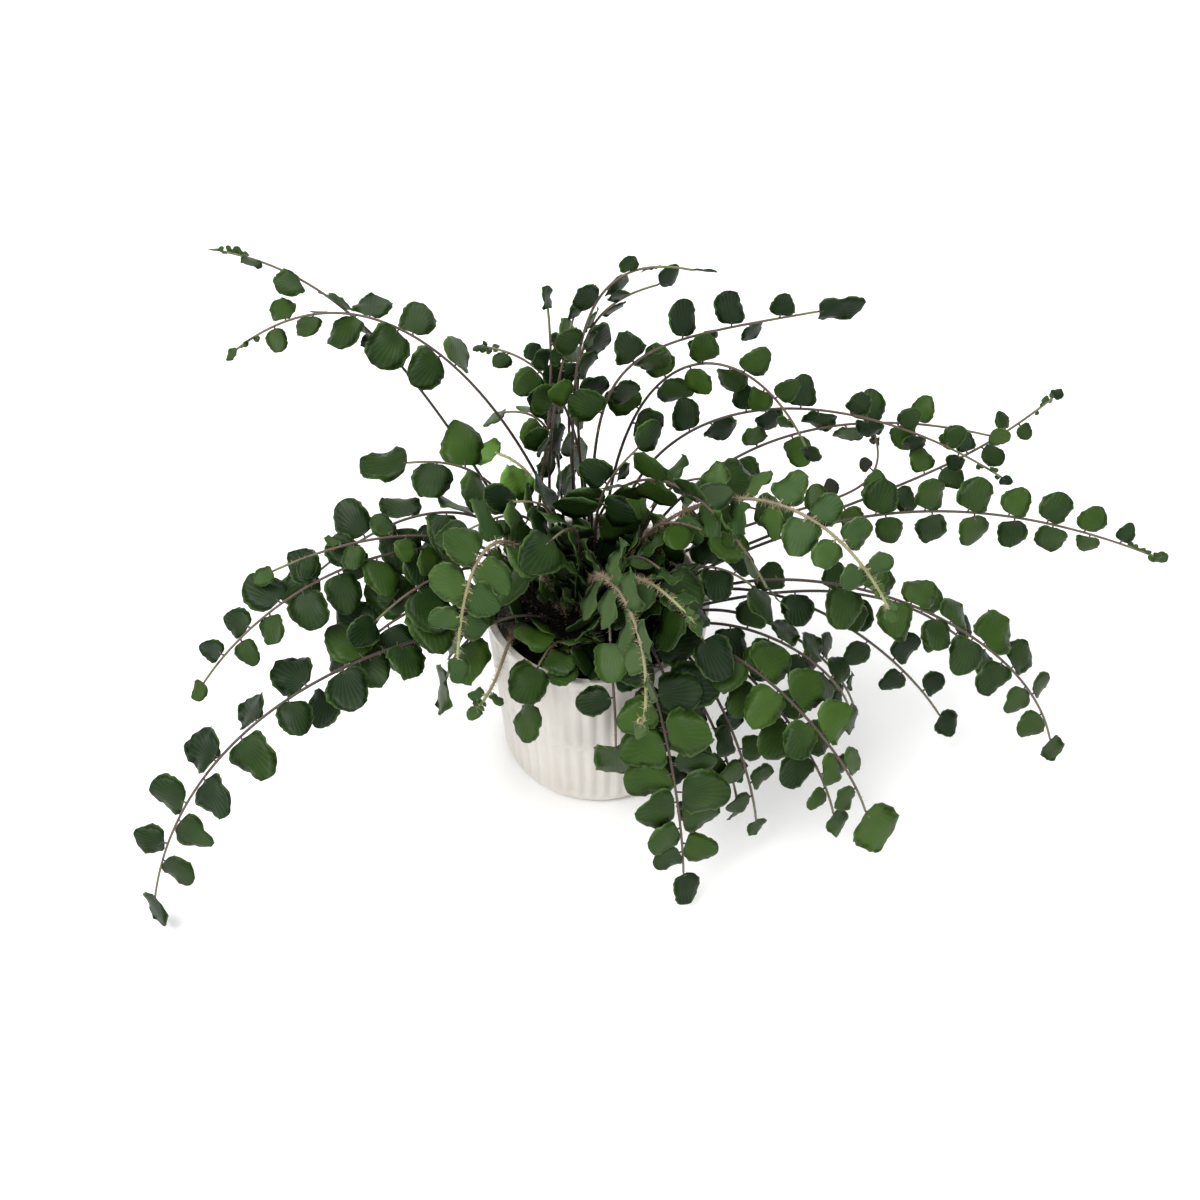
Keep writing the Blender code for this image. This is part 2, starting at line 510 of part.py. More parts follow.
def add_leaflet(points, faces, neck, outline, over):
    """Grow a blade out of a three-cornered gap (rear, forward, bottom) in the rachis."""
    rear, forward, bottom = neck
    top = list(range(len(points), len(points) + len(outline)))
    points += outline
    under = list(range(len(points), len(points) + len(outline)))
    points += [point - over * BLADE_THICKNESS for point in outline]
    faces += [(rear, forward, top[0]), (rear, top[0], top[-1])]
    faces += blade_strips(top)
    faces.append((bottom, under[-1], under[0]))
    faces += blade_strips(under, flip=True)
    for index in range(len(top) - 1):
        faces += [(top[index], under[index], under[index + 1])]
        faces += [(top[index], under[index + 1], top[index + 1])]
    faces += [(forward, bottom, under[0]), (forward, under[0], top[0])]
    faces += [(rear, under[-1], bottom), (rear, top[-1], under[-1])]


def grown_shell(outline, over, amount):
    """A closed plate round a blade, larger by amount all round, to test what it would touch."""
    middle = sum(outline, Vector()) / len(outline)
    count = len(outline)
    wide = [point + (point - middle).normalized() * amount for point in outline]
    shell = [point + over * amount for point in wide]
    shell += [point - over * (amount + BLADE_THICKNESS) for point in wide]
    faces = blade_strips(list(range(count))) + blade_strips(list(range(count, 2 * count)), flip=True)
    for index in range(count):
        after = (index + 1) % count
        faces += [(index, index + count, after + count), (index, after + count, after)]
    return shell, faces


def stem_rings(frond, path, grow=0.0):
    """The corners of the rachis, ring by ring over the soil, larger by grow."""
    rings = []
    for share in ring_shares(frond, path):
        middle, _, across, up = frame_at(path, share, roll_at(frond, share))
        rings.append(triangle_ring(middle, across, up, stem_radius(share) + grow))
    return rings


def leaf_shell(corners, outline, over, amount):
    """The closed plate round a blade and the rear and forward edge of its neck, and the neck's under side."""
    rear, forward, bottom = corners
    shell, faces = grown_shell([forward] + outline + [rear], over, amount)
    base = len(shell)
    shell += [bottom, outline[0] - over * BLADE_THICKNESS, outline[-1] - over * BLADE_THICKNESS]
    faces += [(base, base + 1, base + 2)]
    return shell, faces


def tube(path, frond, grow):
    """The bare rachis as points and faces, larger by grow, for the clearance tests."""
    points, faces = [], []
    for ring in stem_rings(frond, path, grow):
        points += ring
    for base in range(0, len(points) - 3, 3):
        for k in range(3):
            after = (k + 1) % 3
            faces.append((base + k, base + after, base + 3 + after, base + 3 + k))
    return points, faces


def tree(points, faces):
    return BVHTree.FromPolygons([tuple(point) for point in points], faces)


def object_tree(made):
    return tree([vertex.co for vertex in made.data.vertices],
                [tuple(polygon.vertices) for polygon in made.data.polygons])


def clear_path(frond, obstacles):
    """The first nudge of the rachis that touches nothing already placed."""
    for nudge in PATH_NUDGES:
        path = frond_path(frond, nudge)
        test = tree(*tube(path, frond, 2 * CLEARANCE))
        if not any(test.overlap(other) for other in obstacles):
            return path
    raise ValueError("no clear way for " + frond.name)


def leaf_root(frond, path, share, side):
    """Where a leaflet grows: a point of the rachis, the forward way, the way out and upward."""
    middle, direction, across, up = frame_at(path, share, roll_at(frond, share))
    if side == 0:
        return middle, up.cross(direction), direction, up
    radius = stem_radius(share)
    root = middle + across * side * radius * ROOT_OUT + up * radius * ROOT_UP
    return root + direction * 0.5 * NECK_WIDTH, direction, across * side, up


def leaf_neck(rings, index, side):
    """Rear, forward and bottom corner of the gap in the rachis that a leaflet grows out of."""
    left, right, bottom = rings[index]
    if side == 0:
        return right, left, bottom
    corner = 0 if side < 0 else 1
    rear = rings[index][corner]
    edge = rings[index + 1][corner] - rear
    return rear, rear + edge * min(NECK_SHARE, NECK_WIDTH / edge.length), bottom


def neck_crosses(corners, outline, over, own_tube):
    """Whether an edge of the neck meets the rachis or the neck's other side on its way back."""
    rear, forward, bottom = corners
    first, last = outline[0], outline[-1]
    first_under, last_under = (point - over * BLADE_THICKNESS for point in (first, last))
    upper = tree((rear, forward, first, last), [(0, 1, 2), (0, 2, 3)])
    lower = tree((bottom, forward, first_under, last_under, rear), [(0, 1, 2), (0, 2, 3), (0, 3, 4)])
    edges = ((first, forward, own_tube), (last, rear, own_tube), (first, rear, lower),
             (first_under, bottom, own_tube), (last_under, bottom, own_tube),
             (first_under, bottom, upper), (last_under, bottom, upper))
    for start, end, obstacle in edges:
        way = end - start
        if obstacle.ray_cast(start, way.normalized(), way.length - NECK_END)[0] is not None:
            return True
    return False


def choose_leaf(frond_index, leaf_index, frond, path, share, side, tubes, others):
    """The first lie of a leaflet that leaves it clear, or None."""
    root, forward, outward, up = leaf_root(frond, path, share, side)
    corners = leaf_neck(stem_rings(frond, path), leaf_index - frond.leaves, side)
    for choice in LEAF_CHOICES:
        form = leaf_form(frond_index, leaf_index, frond, choice)
        axes = leaf_axes(form, forward, outward, up)
        outline = blade_outline(form, root, axes)
        if min(point.z for point in outline) < LOWEST_LEAF:
            continue
        if min((point - root).dot(outward) for point in (outline[0], outline[-1])) < 0:
            continue
        if tree(*grown_shell(outline, axes[2], CLEARANCE)).overlap(tubes[frond_index]):
            continue
        if neck_crosses(corners, outline, axes[2], tubes[frond_index]):
            continue
        test = tree(*leaf_shell(corners, outline, axes[2], CLEARANCE))
        if any(test.overlap(tube) for index, tube in enumerate(tubes) if index != frond_index):
            continue
        if any(test.overlap(other) for other in others):
            continue
        others.append(tree(*leaf_shell(corners, outline, axes[2], 0.0)))
        return outline, axes[2]
    return None


def grow_segment(points, faces, low, high, side, leaf):
    """One length of the rachis between two rings, with a leaflet fused to its start if it has one."""
    left, right, bottom = low
    high_left, high_right, high_bottom = high
    if leaf is None:
        faces += [(left, high_left, high_right), (left, high_right, right)]
        faces += [(right, high_right, high_bottom), (right, high_bottom, bottom)]
        faces += [(bottom, high_bottom, high_left), (bottom, high_left, left)]
        return
    corner, far = (left, high_left) if side < 0 else (right, high_right)
    edge = points[far] - points[corner]
    neck = len(points)
    points.append(points[corner] + edge * min(NECK_SHARE, NECK_WIDTH / edge.length))
    if side < 0:
        faces += [(left, neck, right), (neck, high_left, high_right), (neck, high_right, right)]
        faces += [(neck, bottom, high_bottom), (neck, high_bottom, high_left)]
        faces += [(right, high_right, high_bottom), (right, high_bottom, bottom)]
    else:
        faces += [(right, neck, left), (neck, high_right, high_left), (neck, high_left, left)]
        faces += [(neck, bottom, high_bottom), (neck, high_bottom, high_right)]
        faces += [(left, high_left, high_bottom), (left, high_bottom, bottom)]
    add_leaflet(points, faces, (corner, neck, bottom), *leaf)


def frond_solid(frond, path, leaves):
    """The stem from its hole in the soil to its tip, and the leaflets fused to it."""
    foot = foot_point(frond) - Vector((0, 0, STEM_HOLE_DEPTH - GAP))
    points = triangle_ring(foot, bearing_vector(frond.start[0] - 90),
                           bearing_vector(frond.start[0] + 180), STEM_RADIUS)
    for ring in stem_rings(frond, path):
        points += ring
    rings = [tuple(range(start, start + 3)) for start in range(0, len(points), 3)]
    faces = [rings[0]]
    bare_rings = len(rings) - len(leaves)
    for index, (low, high) in enumerate(zip(rings, rings[1:])):
        side, leaf = leaves[index - bare_rings] if index >= bare_rings else (1, None)
        grow_segment(points, faces, low, high, side, leaf)
    crest = leaves[-1][1]
    if crest is None:
        faces.append(rings[-1])
    else:
        left, right, bottom = rings[-1]
        add_leaflet(points, faces, (right, left, bottom), *crest)
    return points, faces


def build_fronds(pot, soil):
    """Every rachis finds its way first; then the leaflets, frond by frond, find theirs."""
    others = [object_tree(pot), object_tree(soil)]
    paths, tubes = [], []
    for frond in FRONDS:
        paths.append(clear_path(frond, others + tubes))
        tubes.append(tree(*tube(paths[-1], frond, 0.0)))
    grown = 0
    for frond_index, (frond, path) in enumerate(zip(FRONDS, paths)):
        leaves = []
        for leaf_index, share in enumerate(leaf_shares(frond) + [1.0]):
            side = 0 if share == 1.0 else (1 if (leaf_index + frond_index) % 2 else -1)
            leaf = choose_leaf(frond_index, leaf_index, frond, path, share, side, tubes, others)
            leaves.append((side, leaf))
        grown += sum(leaf is not None for _, leaf in leaves)
        points, faces = frond_solid(frond, path, leaves)
        add_object("frond_" + frond.name, points, faces, LEAF_COLOURS[frond.young], LEAF_ROUGHNESS)
    print("leaflets", grown, "of", sum(frond.leaves for frond in FRONDS))


for old in list(bpy.data.objects):
    bpy.data.objects.remove(old, do_unlink=True)
pot_object = build_pot()
soil_object = build_soil()
build_fronds(pot_object, soil_object)
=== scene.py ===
import math
import random
from collections import namedtuple

import bpy
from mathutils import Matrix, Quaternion, Vector
from mathutils.kdtree import KDTree


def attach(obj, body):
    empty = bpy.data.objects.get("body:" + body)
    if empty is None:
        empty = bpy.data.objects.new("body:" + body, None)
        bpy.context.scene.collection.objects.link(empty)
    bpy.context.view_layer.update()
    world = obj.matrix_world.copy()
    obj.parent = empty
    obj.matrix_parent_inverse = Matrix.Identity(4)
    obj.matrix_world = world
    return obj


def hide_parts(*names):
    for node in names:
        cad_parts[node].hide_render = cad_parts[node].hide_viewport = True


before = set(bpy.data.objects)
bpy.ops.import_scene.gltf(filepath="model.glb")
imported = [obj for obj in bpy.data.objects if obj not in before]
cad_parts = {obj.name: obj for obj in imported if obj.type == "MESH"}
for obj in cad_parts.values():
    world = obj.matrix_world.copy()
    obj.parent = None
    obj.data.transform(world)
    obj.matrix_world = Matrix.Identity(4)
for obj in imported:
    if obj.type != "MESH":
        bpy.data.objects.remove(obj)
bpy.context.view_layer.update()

# Pot
# A slip-cast ceramic planter with a warm white satin glaze. Upright ribs run round the wall and fade
# at a plain ring at mid-height, under the plain lip and over the rounded foot.
POT_HEIGHT = 0.116
POT_RIM_RADIUS = 0.060
POT_FOOT_RADIUS = 0.0514
POT_WALL = 0.0040
POT_FLOOR = 0.0045
RIB_COUNT = 46
RIB_DEPTH = 0.0016
RIB_POWER = 1.2
STEPS_PER_RIB = 8
LIP_HEIGHT = 0.0045
WAIST_HEIGHT = 0.0545
WAIST_HALF_WIDTH = 0.0011
RIB_FADE = 0.0030
FOOT_ROUNDING = 0.0060
RIM_ROUNDING = 0.0010
RIM_LINE_DEPTH = 0.00018
WALL_STEP = 0.0016
ARC_STEPS = 6


def pot_radius(height):
    """Outer radius of the wall, straight from foot to rim."""
    return POT_FOOT_RADIUS + (POT_RIM_RADIUS - POT_FOOT_RADIUS) * height / POT_HEIGHT


def smooth(share):
    share = min(1.0, max(0.0, share))
    return share * share * (3 - 2 * share)


def rib_share(height):
    """How deep the ribs stand at a height: 1 on the wall, 0 at the foot, the waist and the lip."""
    from_foot = smooth((height - FOOT_ROUNDING) / RIB_FADE)
    from_waist = smooth((abs(height - WAIST_HEIGHT) - WAIST_HALF_WIDTH) / RIB_FADE)
    from_lip = smooth((POT_HEIGHT - LIP_HEIGHT - height) / RIB_FADE)
    return min(from_foot, from_waist, from_lip)


def pot_profile():
    """The wall's section from the middle of the foot, over the rim, to the middle of the floor."""
    corners = [(0.0, 0.0), (0.5 * POT_FOOT_RADIUS, 0.0)]
    inset = POT_FOOT_RADIUS - FOOT_ROUNDING
    for step in range(ARC_STEPS + 1):
        angle = math.radians(90 * step / ARC_STEPS)
        height = FOOT_ROUNDING * (1 - math.cos(angle))
        corners.append((inset + (pot_radius(height) - inset) * math.sin(angle), height))
    lip = POT_HEIGHT - RIM_ROUNDING
    count = round((lip - FOOT_ROUNDING) / WALL_STEP)
    for step in range(1, count + 1):
        height = FOOT_ROUNDING + (lip - FOOT_ROUNDING) * step / count
        corners.append((pot_radius(height), height))
    outer, inner = pot_radius(lip), pot_radius(lip) - POT_WALL
    for step in range(1, ARC_STEPS + 1):
        angle = math.radians(90 * step / ARC_STEPS)
        corners.append((outer - RIM_ROUNDING * (1 - math.cos(angle)), lip + RIM_ROUNDING * math.sin(angle)))
    corners.append((0.5 * (outer + inner), POT_HEIGHT - RIM_LINE_DEPTH))
    for step in range(ARC_STEPS + 1):
        angle = math.radians(90 * step / ARC_STEPS)
        corners.append((inner + RIM_ROUNDING * (1 - math.sin(angle)), lip + RIM_ROUNDING * math.cos(angle)))
    corners.append((pot_radius(0.5 * POT_HEIGHT) - POT_WALL, 0.5 * POT_HEIGHT))
    corners.append((pot_radius(POT_FLOOR) - POT_WALL, POT_FLOOR))
    corners.append((0.0, POT_FLOOR))
    return corners


def turned_mesh(name, profile, steps):
    """A closed turned shape; a profile point on the axis becomes one vertex."""
    points, rings, faces = [], [], []
    for radius, height in profile:
        if radius == 0.0:
            rings.append([len(points)])
            points.append((0.0, 0.0, height))
            continue
        rings.append(list(range(len(points), len(points) + steps)))
        for step in range(steps):
            angle = math.tau * step / steps
            points.append((radius * math.cos(angle), radius * math.sin(angle), height))
    for lower, upper in zip(rings, rings[1:]):
        for step in range(steps):
            after = (step + 1) % steps
            if len(lower) == 1:
                faces.append((lower[0], upper[after], upper[step]))
            elif len(upper) == 1:
                faces.append((lower[step], lower[after], upper[0]))
            else:
                faces.append((lower[step], lower[after], upper[after], upper[step]))
    mesh = bpy.data.meshes.new(name)
    mesh.from_pydata(points, [], faces)
    mesh.validate()
    return mesh


def add_object(name, mesh):
    made = bpy.data.objects.new(name, mesh)
    bpy.context.scene.collection.objects.link(made)
    return made


def store(mesh, name, values, kind="FLOAT"):
    """Keep a number or a vector for every vertex of a mesh."""
    attribute = mesh.attributes.new(name, kind, "POINT")
    if kind == "FLOAT_VECTOR":
        attribute.data.foreach_set("vector", [part for value in values for part in value])
    else:
        attribute.data.foreach_set("value", values)


class Number:
    """A number in a node tree. Sums of such numbers become Math nodes."""

    def __init__(self, socket):
        self.socket = socket

    def math(self, operation, *terms):
        tree = self.socket.id_data
        return Number(result(tree, "ShaderNodeMath", dict(enumerate((self, *terms))), operation=operation))

    def __add__(self, other):
        return self.math("ADD", other)

    def __sub__(self, other):
        return self.math("SUBTRACT", other)

    def __mul__(self, other):
        return self.math("MULTIPLY", other)

    def __pow__(self, other):
        return self.math("POWER", other)


def feed(made, values):
    """Give a node's inputs their values by name or place, as links or as constants."""
    for name, value in values.items():
        if isinstance(value, Number):
            value = value.socket
        if isinstance(value, bpy.types.NodeSocket):
            made.id_data.links.new(value, made.inputs[name])
        else:
            made.inputs[name].default_value = value


def node(tree, kind, values=None, **settings):
    made = tree.nodes.new(kind)
    for name, value in settings.items():
        setattr(made, name, value)
    feed(made, values or {})
    return made


def result(tree, kind, values=None, output=0, **settings):
    """Add a node and return one of its outputs."""
    return node(tree, kind, values, **settings).outputs[output]


def scaled(tree, vector, factor):
    return result(tree, "ShaderNodeVectorMath", {0: vector, "Scale": factor}, operation="SCALE")


def named(tree, name, kind="FLOAT"):
    """A stored value as a field."""
    value = result(tree, "GeometryNodeInputNamedAttribute", {"Name": name}, data_type=kind)
    return value if kind == "FLOAT_VECTOR" else Number(value)


def node_group(kind, name, inputs, outputs):
    """An empty node group with named sockets; returns the tree, its inputs and its output node."""
    tree = bpy.data.node_groups.new(name, kind)
    for way, sockets in (("INPUT", inputs), ("OUTPUT", outputs)):
        for label, holds in sockets:
            tree.interface.new_socket(label, in_out=way, socket_type="NodeSocket" + holds)
    return tree, tree.nodes.new("NodeGroupInput").outputs, tree.nodes.new("NodeGroupOutput")


def geometry_group(name, inputs):
    shape = (("Geometry", "Geometry"),)
    return node_group("GeometryNodeTree", name, (*shape, *inputs), shape)


def grow(made, tree, **inputs):
    """Run a Geometry Nodes group on an object and keep the result as its plain mesh."""
    modifier = made.modifiers.new(tree.name, "NODES")
    modifier.node_group = tree
    for item in tree.interface.items_tree:
        if item.in_out == "INPUT" and item.name.lower().replace(" ", "_") in inputs:
            modifier[item.identifier] = inputs[item.name.lower().replace(" ", "_")]
    depsgraph = bpy.context.evaluated_depsgraph_get()
    depsgraph.update()
    mesh = bpy.data.meshes.new_from_object(made.evaluated_get(depsgraph), depsgraph=depsgraph)
    made.modifiers.remove(modifier)
    made.data = mesh
    return made


def new_material(name):
    """A material, its tree and its Principled node."""
    made = bpy.data.materials.new(name)
    made.use_nodes = True
    return made, made.node_tree, made.node_tree.nodes["Principled BSDF"]


# The uneven tone of clay, peat, leaf, hair and paper: one group, placed in each material at its own scale
mottling, given, output = node_group(
    "ShaderNodeTree", "mottling", (("Scale", "Float"), ("Detail", "Float"), ("Roughness", "Float")),
    (("Tone", "Float"),))
values = {name: given[name] for name in ("Scale", "Detail", "Roughness")}
values["Vector"] = result(mottling, "ShaderNodeTexCoord", output="Object")
feed(output, {"Tone": result(mottling, "ShaderNodeTexNoise", values, "Fac")})


def object_noise(tree, scale, detail=3.0, roughness=0.5):
    values = {"Scale": scale, "Detail": detail, "Roughness": roughness}
    return Number(result(tree, "ShaderNodeGroup", values, node_tree=mottling))


def ramp(tree, factor, *stops):
    """A colour ramp from (place, colour) stops."""
    made = node(tree, "ShaderNodeValToRGB", {0: factor})
    elements = made.color_ramp.elements
    for index, (place, colour) in enumerate(stops):
        element = elements[index] if index < 2 else elements.new(place)
        element.position = place
        element.color = (*colour, 1.0)
    return made.outputs["Color"]


def bump(tree, height, strength, distance):
    values = {"Height": height, "Strength": strength, "Distance": distance}
    return result(tree, "ShaderNodeBump", values, "Normal")


def painted(geometry, finish):
    values = {"Geometry": geometry, "Material": finish}
    return result(geometry.id_data, "GeometryNodeSetMaterial", values)


def hand_out(output, geometry, finish):
    """Close a Geometry Nodes group: one plain mesh in one material."""
    whole = result(output.id_data, "GeometryNodeRealizeInstances", {0: geometry})
    feed(output, {0: painted(whole, finish)})


GLAZE_LIGHT = (0.690, 0.652, 0.598)
GLAZE_DARK = (0.625, 0.585, 0.532)
GLAZE_ROUGHNESS = (0.34, 0.46)
GLAZE_COAT = 0.25
# Scale of the mottle, and where its dark and light tone stand
GLAZE_MOTTLE = (38.0, 0.30, 0.72)
GLAZE_GRAIN_SCALE = 900.0
# Here and below, a bump's strength and distance
GLAZE_BUMP = (0.10, 0.0002)

glaze, tree, shader = new_material("white_satin_glaze")
mottle = object_noise(tree, GLAZE_MOTTLE[0])
spread = {"Value": mottle, "To Min": GLAZE_ROUGHNESS[0], "To Max": GLAZE_ROUGHNESS[1]}
feed(shader, {
    "Base Color": ramp(tree, mottle, (GLAZE_MOTTLE[1], GLAZE_DARK), (GLAZE_MOTTLE[2], GLAZE_LIGHT)),
    "Roughness": result(tree, "ShaderNodeMapRange", spread),
    "Normal": bump(tree, object_noise(tree, GLAZE_GRAIN_SCALE), *GLAZE_BUMP),
    "Coat Weight": GLAZE_COAT})

rib_tree, given, output = geometry_group("upright_ribs", (
    ("Rib count", "Float"), ("Rib depth", "Float"), ("Rib power", "Float"), ("Finish", "Material")))
turn = named(rib_tree, "turn") * given["Rib count"] * 0.5
crest = turn.math("COSINE").math("ABSOLUTE") ** given["Rib power"]
depth = (crest - 1.0) * given["Rib depth"] * named(rib_tree, "rib_share")
inward = scaled(rib_tree, named(rib_tree, "outward", "FLOAT_VECTOR"), depth)
ribbed = result(rib_tree, "GeometryNodeSetPosition", {"Geometry": given["Geometry"], "Offset": inward})
rounded = result(rib_tree, "GeometryNodeSetShadeSmooth", {0: ribbed})
hand_out(output, rounded, given["Finish"])

mesh = turned_mesh("pot_fine", pot_profile(), RIB_COUNT * STEPS_PER_RIB)
turns, outs, shares = [], [], []
for vertex in mesh.vertices:
    x, y, z = vertex.co
    turns.append(math.atan2(y, x))
    outs.append(Vector((x, y, 0.0)).normalized())
    outside = math.hypot(x, y) > pot_radius(z) - 0.5 * POT_WALL
    shares.append(rib_share(z) if outside else 0.0)
store(mesh, "turn", turns)
store(mesh, "outward", outs, "FLOAT_VECTOR")
store(mesh, "rib_share", shares)
pot = grow(add_object("pot_fine", mesh), rib_tree, rib_count=float(RIB_COUNT), rib_depth=RIB_DEPTH,
           rib_power=RIB_POWER, finish=glaze)
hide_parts("pot")
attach(pot, "root")

# Soil
# Dark peaty potting soil, loosely filled to a little under the rim and heaped to the middle. Its top is
# uneven, with crumbs lying on it.
SOIL_EDGE_HEIGHT = 0.100
SOIL_CROWN_HEIGHT = 0.1045
SOIL_GAP = 0.0004
SOIL_RINGS = 26
SOIL_STEPS = 96
# Scale and height
SOIL_BUMPS = (260.0, 0.0030)
SOIL_BUMP_DETAIL = 2.0
ON_TOP = 0.0001
CRUMB_DENSITY = 140000.0
CRUMB_RADIUS = 0.00085
CRUMB_SCALES = (0.35, 1.6)
SOIL_SEED = 11
CRUMB_TURN_SEED = 5
# Here and below, a noise's scale, detail and roughness
PEAT_GRAIN = (620.0, 5.0, 0.65)
PEAT_TONES = (
    (0.30, (0.003, 0.0022, 0.0018)), (0.62, (0.010, 0.0075, 0.006)), (0.80, (0.026, 0.018, 0.013)))
PEAT_ROUGHNESS = 0.95
PEAT_SPECULAR = 0.1
PEAT_BUMP = (0.8, 0.0006)


def soil_height(x, y):
    """Top of the soil: a low cone."""
    share = min(1.0, math.hypot(x, y) / (pot_radius(SOIL_EDGE_HEIGHT) - POT_WALL - SOIL_GAP))
    return SOIL_CROWN_HEIGHT + (SOIL_EDGE_HEIGHT - SOIL_CROWN_HEIGHT) * share


peat, tree, shader = new_material("dark_peat")
grain = object_noise(tree, *PEAT_GRAIN)
feed(shader, {"Base Color": ramp(tree, grain, *PEAT_TONES), "Roughness": PEAT_ROUGHNESS,
              "Specular IOR Level": PEAT_SPECULAR, "Normal": bump(tree, grain, *PEAT_BUMP)})

soil_tree, given, output = geometry_group("crumbly_top", (
    ("Bump scale", "Float"), ("Bump height", "Float"), ("Crumb density", "Float"),
    ("Crumb radius", "Float"), ("Crumb smallest", "Float"), ("Crumb largest", "Float"),
    ("Seed", "Int"), ("Finish", "Material")))
loose = named(soil_tree, "loose")
bumpy = {"Vector": result(soil_tree, "GeometryNodeInputPosition"), "Scale": given["Bump scale"],
         "Detail": SOIL_BUMP_DETAIL}
height = (Number(result(soil_tree, "ShaderNodeTexNoise", bumpy, "Fac")) - 0.5) * given["Bump height"] * loose
lift = result(soil_tree, "ShaderNodeCombineXYZ", {"Z": height})
top = result(soil_tree, "GeometryNodeSetPosition", {"Geometry": given["Geometry"], "Offset": lift})
spots = result(soil_tree, "GeometryNodeDistributePointsOnFaces", {
    "Mesh": top, "Selection": loose.math("GREATER_THAN", 0.5), "Density": given["Crumb density"],
    "Seed": given["Seed"]}, "Points")
crumb = result(soil_tree, "GeometryNodeMeshIcoSphere", {"Radius": given["Crumb radius"], "Subdivisions": 1})
sizes = {2: given["Crumb smallest"], 3: given["Crumb largest"], "Seed": given["Seed"]}
angles = {0: (0.0,) * 3, 1: (math.tau,) * 3, "Seed": CRUMB_TURN_SEED}
turned = result(soil_tree, "FunctionNodeRandomValue", angles, data_type="FLOAT_VECTOR")
crumbs = result(soil_tree, "GeometryNodeInstanceOnPoints", {
    "Points": spots, "Instance": crumb,
    "Rotation": result(soil_tree, "FunctionNodeEulerToRotation", {0: turned}),
    "Scale": result(soil_tree, "FunctionNodeRandomValue", sizes, 1)})
joined = node(soil_tree, "GeometryNodeJoinGeometry")
for part in (crumbs, top):
    feed(joined, {0: part})
hand_out(output, joined.outputs[0], given["Finish"])

edge = pot_radius(SOIL_EDGE_HEIGHT) - POT_WALL - SOIL_GAP
profile = [(0.0, POT_FLOOR + SOIL_GAP), (pot_radius(POT_FLOOR) - POT_WALL - SOIL_GAP, POT_FLOOR + SOIL_GAP),
           (edge, SOIL_EDGE_HEIGHT)]
profile += [(edge * (1 - ring / SOIL_RINGS), soil_height(edge * (1 - ring / SOIL_RINGS), 0.0))
            for ring in range(1, SOIL_RINGS + 1)]
mesh = turned_mesh("soil_fine", profile, SOIL_STEPS)
store(mesh, "loose", [1.0 if vertex.co.z > SOIL_EDGE_HEIGHT + ON_TOP else 0.0 for vertex in mesh.vertices])
soil = grow(add_object("soil_fine", mesh), soil_tree, bump_scale=SOIL_BUMPS[0], bump_height=SOIL_BUMPS[1],
            crumb_density=CRUMB_DENSITY, crumb_radius=CRUMB_RADIUS, crumb_smallest=CRUMB_SCALES[0],
            crumb_largest=CRUMB_SCALES[1], seed=SOIL_SEED, finish=peat)
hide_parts("soil")
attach(soil, "root")

# Fronds
# Each frond is a wiry dark petiole and rachis, hairy and scaly, with round leathery leaflets in two rows.
# It grows from the soil; its leaflets join it by short stalklets.
STEM_RADIUS = 0.00105
TIP_RADIUS = 0.00075
STEM_HOLE_DEPTH = 0.008
STEM_CLEAR_OF_SOIL = 0.002
PETIOLE_RING_STEP = 0.027
CURVE_STEPS = 400
PATH_SAMPLES = 72
LAST_SIDE_LEAF = 0.965
PAIR_SHIFT = 0.8
SPACING_POWER = 0.92
TAPER_FROM = 0.55
TAPER_BY = 0.42
NECK_WIDTH = 0.0013
ROOT_OUT = 0.6
ROOT_UP = 0.3
STALKLET = 0.0012
BLADE_ASPECT = 0.92
BLADE_FULLNESS = 0.85
BLADE_HEART = 0.14
CUP_POWER = 1.5
EDGE_WAVES = 3.0
SMALL_LEAF, SMALL_ROWS, SMALL_WIDENING = 0.0125, (0.29, 0.79), 1.14
MIDDLE_ROWS, WIDENING = (0.21, 0.52, 0.86), 1.05
LARGE_LEAF, LARGE_ROWS = 0.0245, (0.17, 0.42, 0.66, 0.90)
LEAF_DRAWS = (
    ("length", 0.92, 1.18), ("width", 0.90, 1.14), ("lift", -20, 14), ("sweep", 4, 24),
    ("twist", -16, 16), ("cup", -0.012, 0.096), ("bend", 0.02, 0.20), ("wave", 0.02, 0.07),
    ("phase", 0.0, math.tau))
MIDDLE_SWEEP = 14
CREST_SWEEP_SHARE = 0.5
DRAW_SEED = 4100
SAME_PLACE = 0.00012

